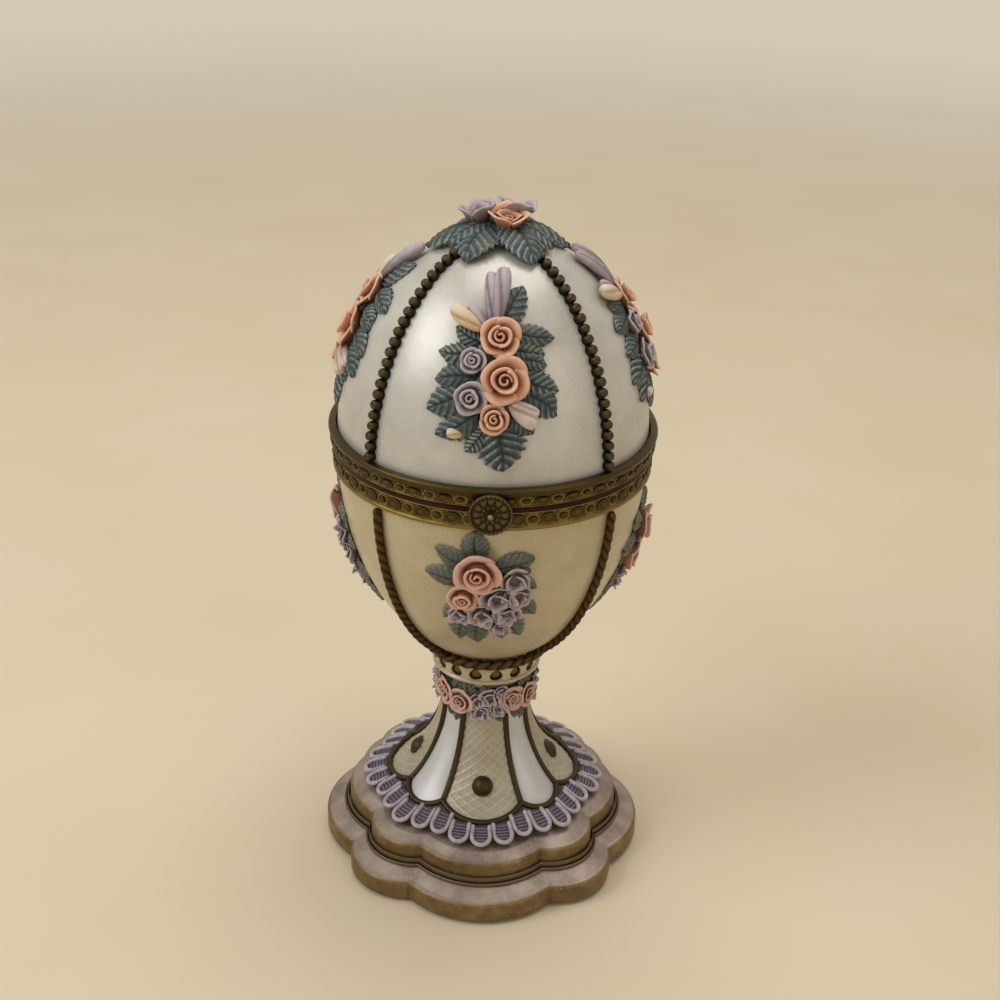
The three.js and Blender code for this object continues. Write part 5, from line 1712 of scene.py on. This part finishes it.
# %% Clasp
CLASP_RADIUS = (high_of("clasp_medallion")[0] - low_of("clasp_medallion")[0]) / 2
CLASP_BACK = -high_of("clasp_medallion")[1]
CLASP_DEPTH = high_of("clasp_medallion")[1] - low_of("clasp_medallion")[1]
DOME = [(0.99, 0.1), (0.95, 0.32), (0.86, 0.55), (0.7, 0.78), (0.5, 0.92), (0.25, 0.98), (0, 1)]
CLASP_BEAD = 1.1


def rosette_height(reach, turn):
    rim = np.exp(-((reach - 0.92) / 0.06) ** 2) * (0.75 + 0.25 * np.cos(30 * turn))
    fan = np.sin(math.pi * np.clip((reach - 0.42) / 0.42, 0, 1)) * np.abs(np.cos(6 * turn)) ** 0.6
    grains = np.exp(-((reach - 0.36) / 0.06) ** 2) * (0.6 + 0.4 * np.cos(10 * turn))
    return 0.3 + 0.55 * rim + 0.42 * fan + 0.45 * grains


def dome(width, height, lift, steps):
    """Smooth boss of a given lift."""
    return boss(width, height, [(reach, share * lift) for reach, share in DOME], steps)


def on_front(shape, out, at):
    """Stand a boss upright on the front, at a distance outwards and a height."""
    return np.stack([shape[..., 0], -out - shape[..., 2], at + shape[..., 1]], -1)


def make_clasp():
    reach = np.concatenate([[0], np.linspace(0.05, 0.985, 34), [1.0]])[None, :]
    turn = full_turn(144)
    height = rosette_height(reach, turn) * CLASP_DEPTH
    height[:, -1] = 0.12
    back = np.zeros_like(height[:, :1])
    reach = np.concatenate([np.broadcast_to(reach, height.shape), back + 0.98, back], 1)
    height = np.concatenate([height, back, back], 1)
    paint = np.clip(height / CLASP_DEPTH, 0, 1)
    x = CLASP_RADIUS * reach * np.cos(turn)
    z = CLOSING_LINE + CLASP_RADIUS * reach * np.sin(turn)
    batch = Batch()
    batch.add(points_of(x, -CLASP_BACK - height, z), paint, close_rows=True)
    make_piece("clasp_rosette", batch, clasp_gold, "lid", ["clasp_medallion"])

    batch = Batch()
    bead = dome(CLASP_BEAD, CLASP_BEAD, 0.5, 20)
    batch.add(on_front(bead, CLASP_BACK + CLASP_DEPTH + 0.1, CLOSING_LINE), 0.9, close_rows=True)
    make_piece("clasp_bead", batch, line_gold, "lid", ["medallion_bead"])
    batch = Batch()
    low, high = low_of("catch_stud"), high_of("catch_stud")
    catch = dome(high[0] - low[0], high[2] - low[2], high[1] - low[1], 16)
    batch.add(on_front(catch, -high[1], (low[2] + high[2]) / 2), 0.6, close_rows=True)
    make_piece("catch_knob", batch, brass, "stand", ["catch_stud"])


make_clasp()
print("clasp radius", round(CLASP_RADIUS, 2), "depth", round(CLASP_DEPTH, 2))

# %% [markdown]
# ## Hinge
#
# At the back a leaf on each band carries knuckles on one pin: two below, one above. The knuckles are
# turned about the pin, which lies on the joint's own axis, so that they stay in place as the lid swings.

# %% Knuckles
HINGE_Y = (low_of("hinge_pin")[1] + high_of("hinge_pin")[1]) / 2
PIN_BORE = 0.9
KNUCKLE_RADIUS = 1.5
INSIDE = 1.6             # half the middle knuckle
KNUCKLE_LENGTH = 2.7
SIDE_FROM = INSIDE + FIT
SIDE_TO = SIDE_FROM + KNUCKLE_LENGTH


def about_pin(section, steps=40):
    """Turn a closed section of radius and place along X about the hinge's line."""
    section = np.asarray(section, float)
    turn, radius = full_turn(steps), section[None, :, 0]
    y, z = HINGE_Y + radius * np.cos(turn), CLOSING_LINE + radius * np.sin(turn)
    return points_of(section[None, :, 1], y, z)


def knuckle(start, end):
    corners = [(PIN_BORE, start), (KNUCKLE_RADIUS, start), (KNUCKLE_RADIUS, end), (PIN_BORE, end)]
    return about_pin(soften(corners, 0.15))


print("hinge line at", round(HINGE_Y, 2), round(CLOSING_LINE, 2))

# %% [markdown]
# The straps and plates are plain sheet, so they are boxes and bent strips. A small bevel softens their
# edges, because they are folded brass.

# %% Hinge leaves and pin
PLATE, PLATE_HEIGHT = 0.6, 1.2


def plate(batch, corner_rings):
    """Strip through rings of four corners, closed at both ends."""
    points = np.array(corner_rings, float)
    first = batch.count
    batch.add(points, 0.6, close_columns=True)
    last = batch.count - 4
    batch.faces.append([first, first + 1, first + 2, first + 3])
    batch.faces.append([last + 3, last + 2, last + 1, last])


def bent_plate(batch, inner, foot, top):
    radius = np.array([inner, inner + PLATE, inner + PLATE, inner])
    turns = math.pi + np.radians(np.linspace(-9, 9, 13))[:, None]
    plate(batch, polar(radius, turns, np.array([foot, foot, top, top])))


def strap(batch, start, end, near, foot, top):
    far = HINGE_Y - PIN_BORE - 0.05
    corners = ((near, foot), (far, foot), (far, top), (near, top))
    plate(batch, [[(x, *corner) for corner in corners] for x in (start, end)])


def make_hinge():
    batch = Batch()
    foot = LOWER_FOOT + 0.8
    bent_plate(batch, LOWER_REACH + 0.1, foot, foot + PLATE_HEIGHT)
    for start, end in ((-SIDE_TO, -SIDE_FROM), (SIDE_FROM, SIDE_TO)):
        strap(batch, start, end, LOWER_REACH + 0.3, foot + 0.2, CLOSING_LINE - FIT)
        batch.add(knuckle(start, end), 0.7, close_rows=True, close_columns=True)
    make_piece("hinge_lower", batch, brass, "stand", ["lower_hinge_leaf"], sharp=35, bevel=0.12)
    batch = Batch()
    top = UPPER_TOP - LIP_HEIGHT - FIT
    bent_plate(batch, UPPER_REACH + 0.15, top - PLATE_HEIGHT, top)
    strap(batch, -INSIDE, INSIDE, UPPER_REACH + 0.3, CLOSING_LINE + FIT, top - 0.2)
    batch.add(knuckle(-INSIDE, INSIDE), 0.7, close_rows=True, close_columns=True)
    make_piece("hinge_upper", batch, brass, "lid", ["upper_hinge_leaf"], sharp=35, bevel=0.12)
    batch = Batch()
    head = SIDE_TO + FIT
    tip = high_of("hinge_pin")[0]
    half = [(0.6, head), (1.0, head), (1.0, head + 0.35), (0.85, tip - 0.12), (0.5, tip), (0, tip)]
    section = [(radius, -x) for radius, x in half[::-1]] + half
    batch.add(about_pin(section, 28), 0.7, close_rows=True)
    make_piece("hinge_rod", batch, brass, "stand", ["hinge_pin"], sharp=40)


make_hinge()
print("knuckles from", round(SIDE_FROM, 2), "to", round(SIDE_TO, 2), "mm on both sides of the middle one")

# %% [markdown]
# ## Floor
#
# The box stands on a plain pale floor. Far from the box the floor turns into the backdrop's colour, so that
# no horizon shows from low down. Only the camera and what metal reflects see this, so the light on the
# box doesn't change.

# %% Floor
FLOOR_HALF = 4.0                # metres
FLOOR_SINK = 0.00002            # keeps the floor from touching the felt's faces
BACKDROP, BACKDROP_LEVEL = "#ecdfc9", 0.8
FLOOR_FADE = (0.35, 1.0)        # distances, in metres, between which the floor turns into the backdrop


def seen_rays(tree):
    """1 for the camera's rays and for what metal and glass show, otherwise 0."""
    path = tree.nodes.new("ShaderNodeLightPath")
    seen = path.outputs["Is Camera Ray"]
    for kind in ("Is Glossy Ray", "Is Transmission Ray"):
        either = tree.nodes.new("ShaderNodeMath")
        either.operation = "MAXIMUM"
        tree.links.new(seen, either.inputs[0])
        tree.links.new(path.outputs[kind], either.inputs[1])
        seen = either.outputs[0]
    return seen


def fade_to_backdrop(finish):
    """Let a floor turn into the backdrop's colour far from the box."""
    away = finish.node("ShaderNodeVectorMath", {0: finish.place}, operation="LENGTH").outputs["Value"]
    near, far = FLOOR_FADE
    inputs = {0: away, 1: near, 2: far}
    share = finish.node("ShaderNodeMapRange", inputs, interpolation_type="SMOOTHSTEP").outputs[0]
    share = finish.maths("MULTIPLY", share, seen_rays(finish.tree))
    glow = finish.node("ShaderNodeEmission", {"Color": colour(BACKDROP), "Strength": BACKDROP_LEVEL})
    mix = finish.node("ShaderNodeMixShader", {0: share, 1: finish.shader.outputs[0], 2: glow.outputs[0]})
    finish.tree.links.new(mix.outputs[0], finish.tree.nodes["Material Output"].inputs["Surface"])


def make_floor():
    mesh = bpy.data.meshes.new("floor")
    corners = ((-1, -1), (1, -1), (1, 1), (-1, 1))
    mesh.from_pydata([(x * FLOOR_HALF, y * FLOOR_HALF, -FLOOR_SINK) for x, y in corners], [], [(0, 1, 2, 3)])
    floor = link_object("floor", mesh)
    finish = Finish("floor paint", Specular_IOR_Level=0.15, Roughness=0.9)
    clouds = finish.noise(60.0, 2.0)
    finish.join("Base Color", finish.ramp(clouds, [(0.3, "#dfcfb2"), (0.7, "#e3d4b9")]))
    fade_to_backdrop(finish)
    mesh.materials.append(finish.material)
    floor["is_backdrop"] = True
    return floor


print("floor:", make_floor().name)

# %% [markdown]
# ## Light
#
# A large soft lamp up on the left gives the broad sheen on the lid, one above lights the tops, a weaker
# one on the right fills the shade, and the world adds an even level. The level is plain, so that each
# colour renders about as it is written.

# %% Light
AIM = Vector((0, 0, 0.08))      # a point in the bowl, in metres
ROOM_TINT, ROOM_LEVEL = (1.0, 0.94, 0.84, 1), 0.32


def lamp(name, place, size, power, tint):
    data = bpy.data.lights.new(name, "AREA")
    data.shape = "DISK"
    data.size = size
    data.energy = power
    data.color = tint
    light = link_object(name, data)
    light.location = place
    light.rotation_euler = (AIM - light.location).to_track_quat("-Z", "Y").to_euler()


lamp("window", (-0.62, -0.24, 0.60), 0.55, 3.0, (0.95, 0.975, 1.0))
lamp("ceiling", (0.10, 0.18, 0.95), 0.80, 4.0, (1.0, 0.98, 0.95))
lamp("fill", (0.55, -0.55, 0.35), 0.6, 0.8, (1.0, 0.93, 0.84))


def make_world():
    world = bpy.data.worlds.new("room")
    bpy.context.scene.world = world
    world.use_nodes = True
    tree = world.node_tree
    room = tree.nodes["Background"]
    room.inputs["Color"].default_value = ROOM_TINT
    room.inputs["Strength"].default_value = ROOM_LEVEL
    seen = tree.nodes.new("ShaderNodeBackground")
    seen.inputs["Color"].default_value = colour(BACKDROP)
    seen.inputs["Strength"].default_value = BACKDROP_LEVEL
    mix = tree.nodes.new("ShaderNodeMixShader")
    tree.links.new(seen_rays(tree), mix.inputs[0])
    tree.links.new(room.outputs[0], mix.inputs[1])
    tree.links.new(seen.outputs[0], mix.inputs[2])
    tree.links.new(mix.outputs[0], tree.nodes["World Output"].inputs["Surface"])


make_world()
bpy.context.scene.view_settings.view_transform = "Standard"
print("lamps:", [lamp_data.name for lamp_data in bpy.data.lights])

# %% [markdown]
# ## Camera
#
# The camera stands a little above the box and looks down at it, as in the photograph. Its place and
# turns were worked out from the plinth's outline and the rim. They are written as plain turns, because
# they are easier to read and change than a matrix.

# %% Camera
CAMERA_BACK = 0.29209                  # metres in front of the axis
CAMERA_HEIGHT = 0.22634
CAMERA_PITCH = math.radians(26.66)     # down from level
CAMERA_YAW = math.radians(0.35)
CAMERA_ROLL = math.radians(1.88)
LENS, SENSOR = 59.0, 36                # millimetres


def make_camera():
    data = bpy.data.cameras.new("camera")
    data.lens = LENS
    data.sensor_width = SENSOR
    data.clip_start = 0.01
    camera = link_object("camera", data)
    ahead = Vector((
        math.sin(CAMERA_YAW) * math.cos(CAMERA_PITCH),
        math.cos(CAMERA_YAW) * math.cos(CAMERA_PITCH),
        -math.sin(CAMERA_PITCH),
    ))
    level = Vector((math.cos(CAMERA_YAW), -math.sin(CAMERA_YAW), 0))
    upright = level.cross(ahead)
    right = math.cos(CAMERA_ROLL) * level + math.sin(CAMERA_ROLL) * upright
    up = -math.sin(CAMERA_ROLL) * level + math.cos(CAMERA_ROLL) * upright
    turn = Matrix((right, up, -ahead)).transposed().to_4x4()
    camera.matrix_world = Matrix.Translation((0, -CAMERA_BACK, CAMERA_HEIGHT)) @ turn
    bpy.context.scene.camera = camera


make_camera()
print("camera:", bpy.context.scene.camera.name, "with a lens of", LENS, "mm")

# %% [markdown]
# ## Finish
#
# The box of the dressed model is printed beside the frame's own, so that the two can be compared.

# %% Print the sizes and finish
visual_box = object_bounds()
boxes = {"cad": [list(corner) for corner in cad_box], "visual": [list(corner) for corner in visual_box]}
for name, box in boxes.items():
    print(name, "box in mm:", [[round(value / MM, 1) for value in corner] for corner in box])
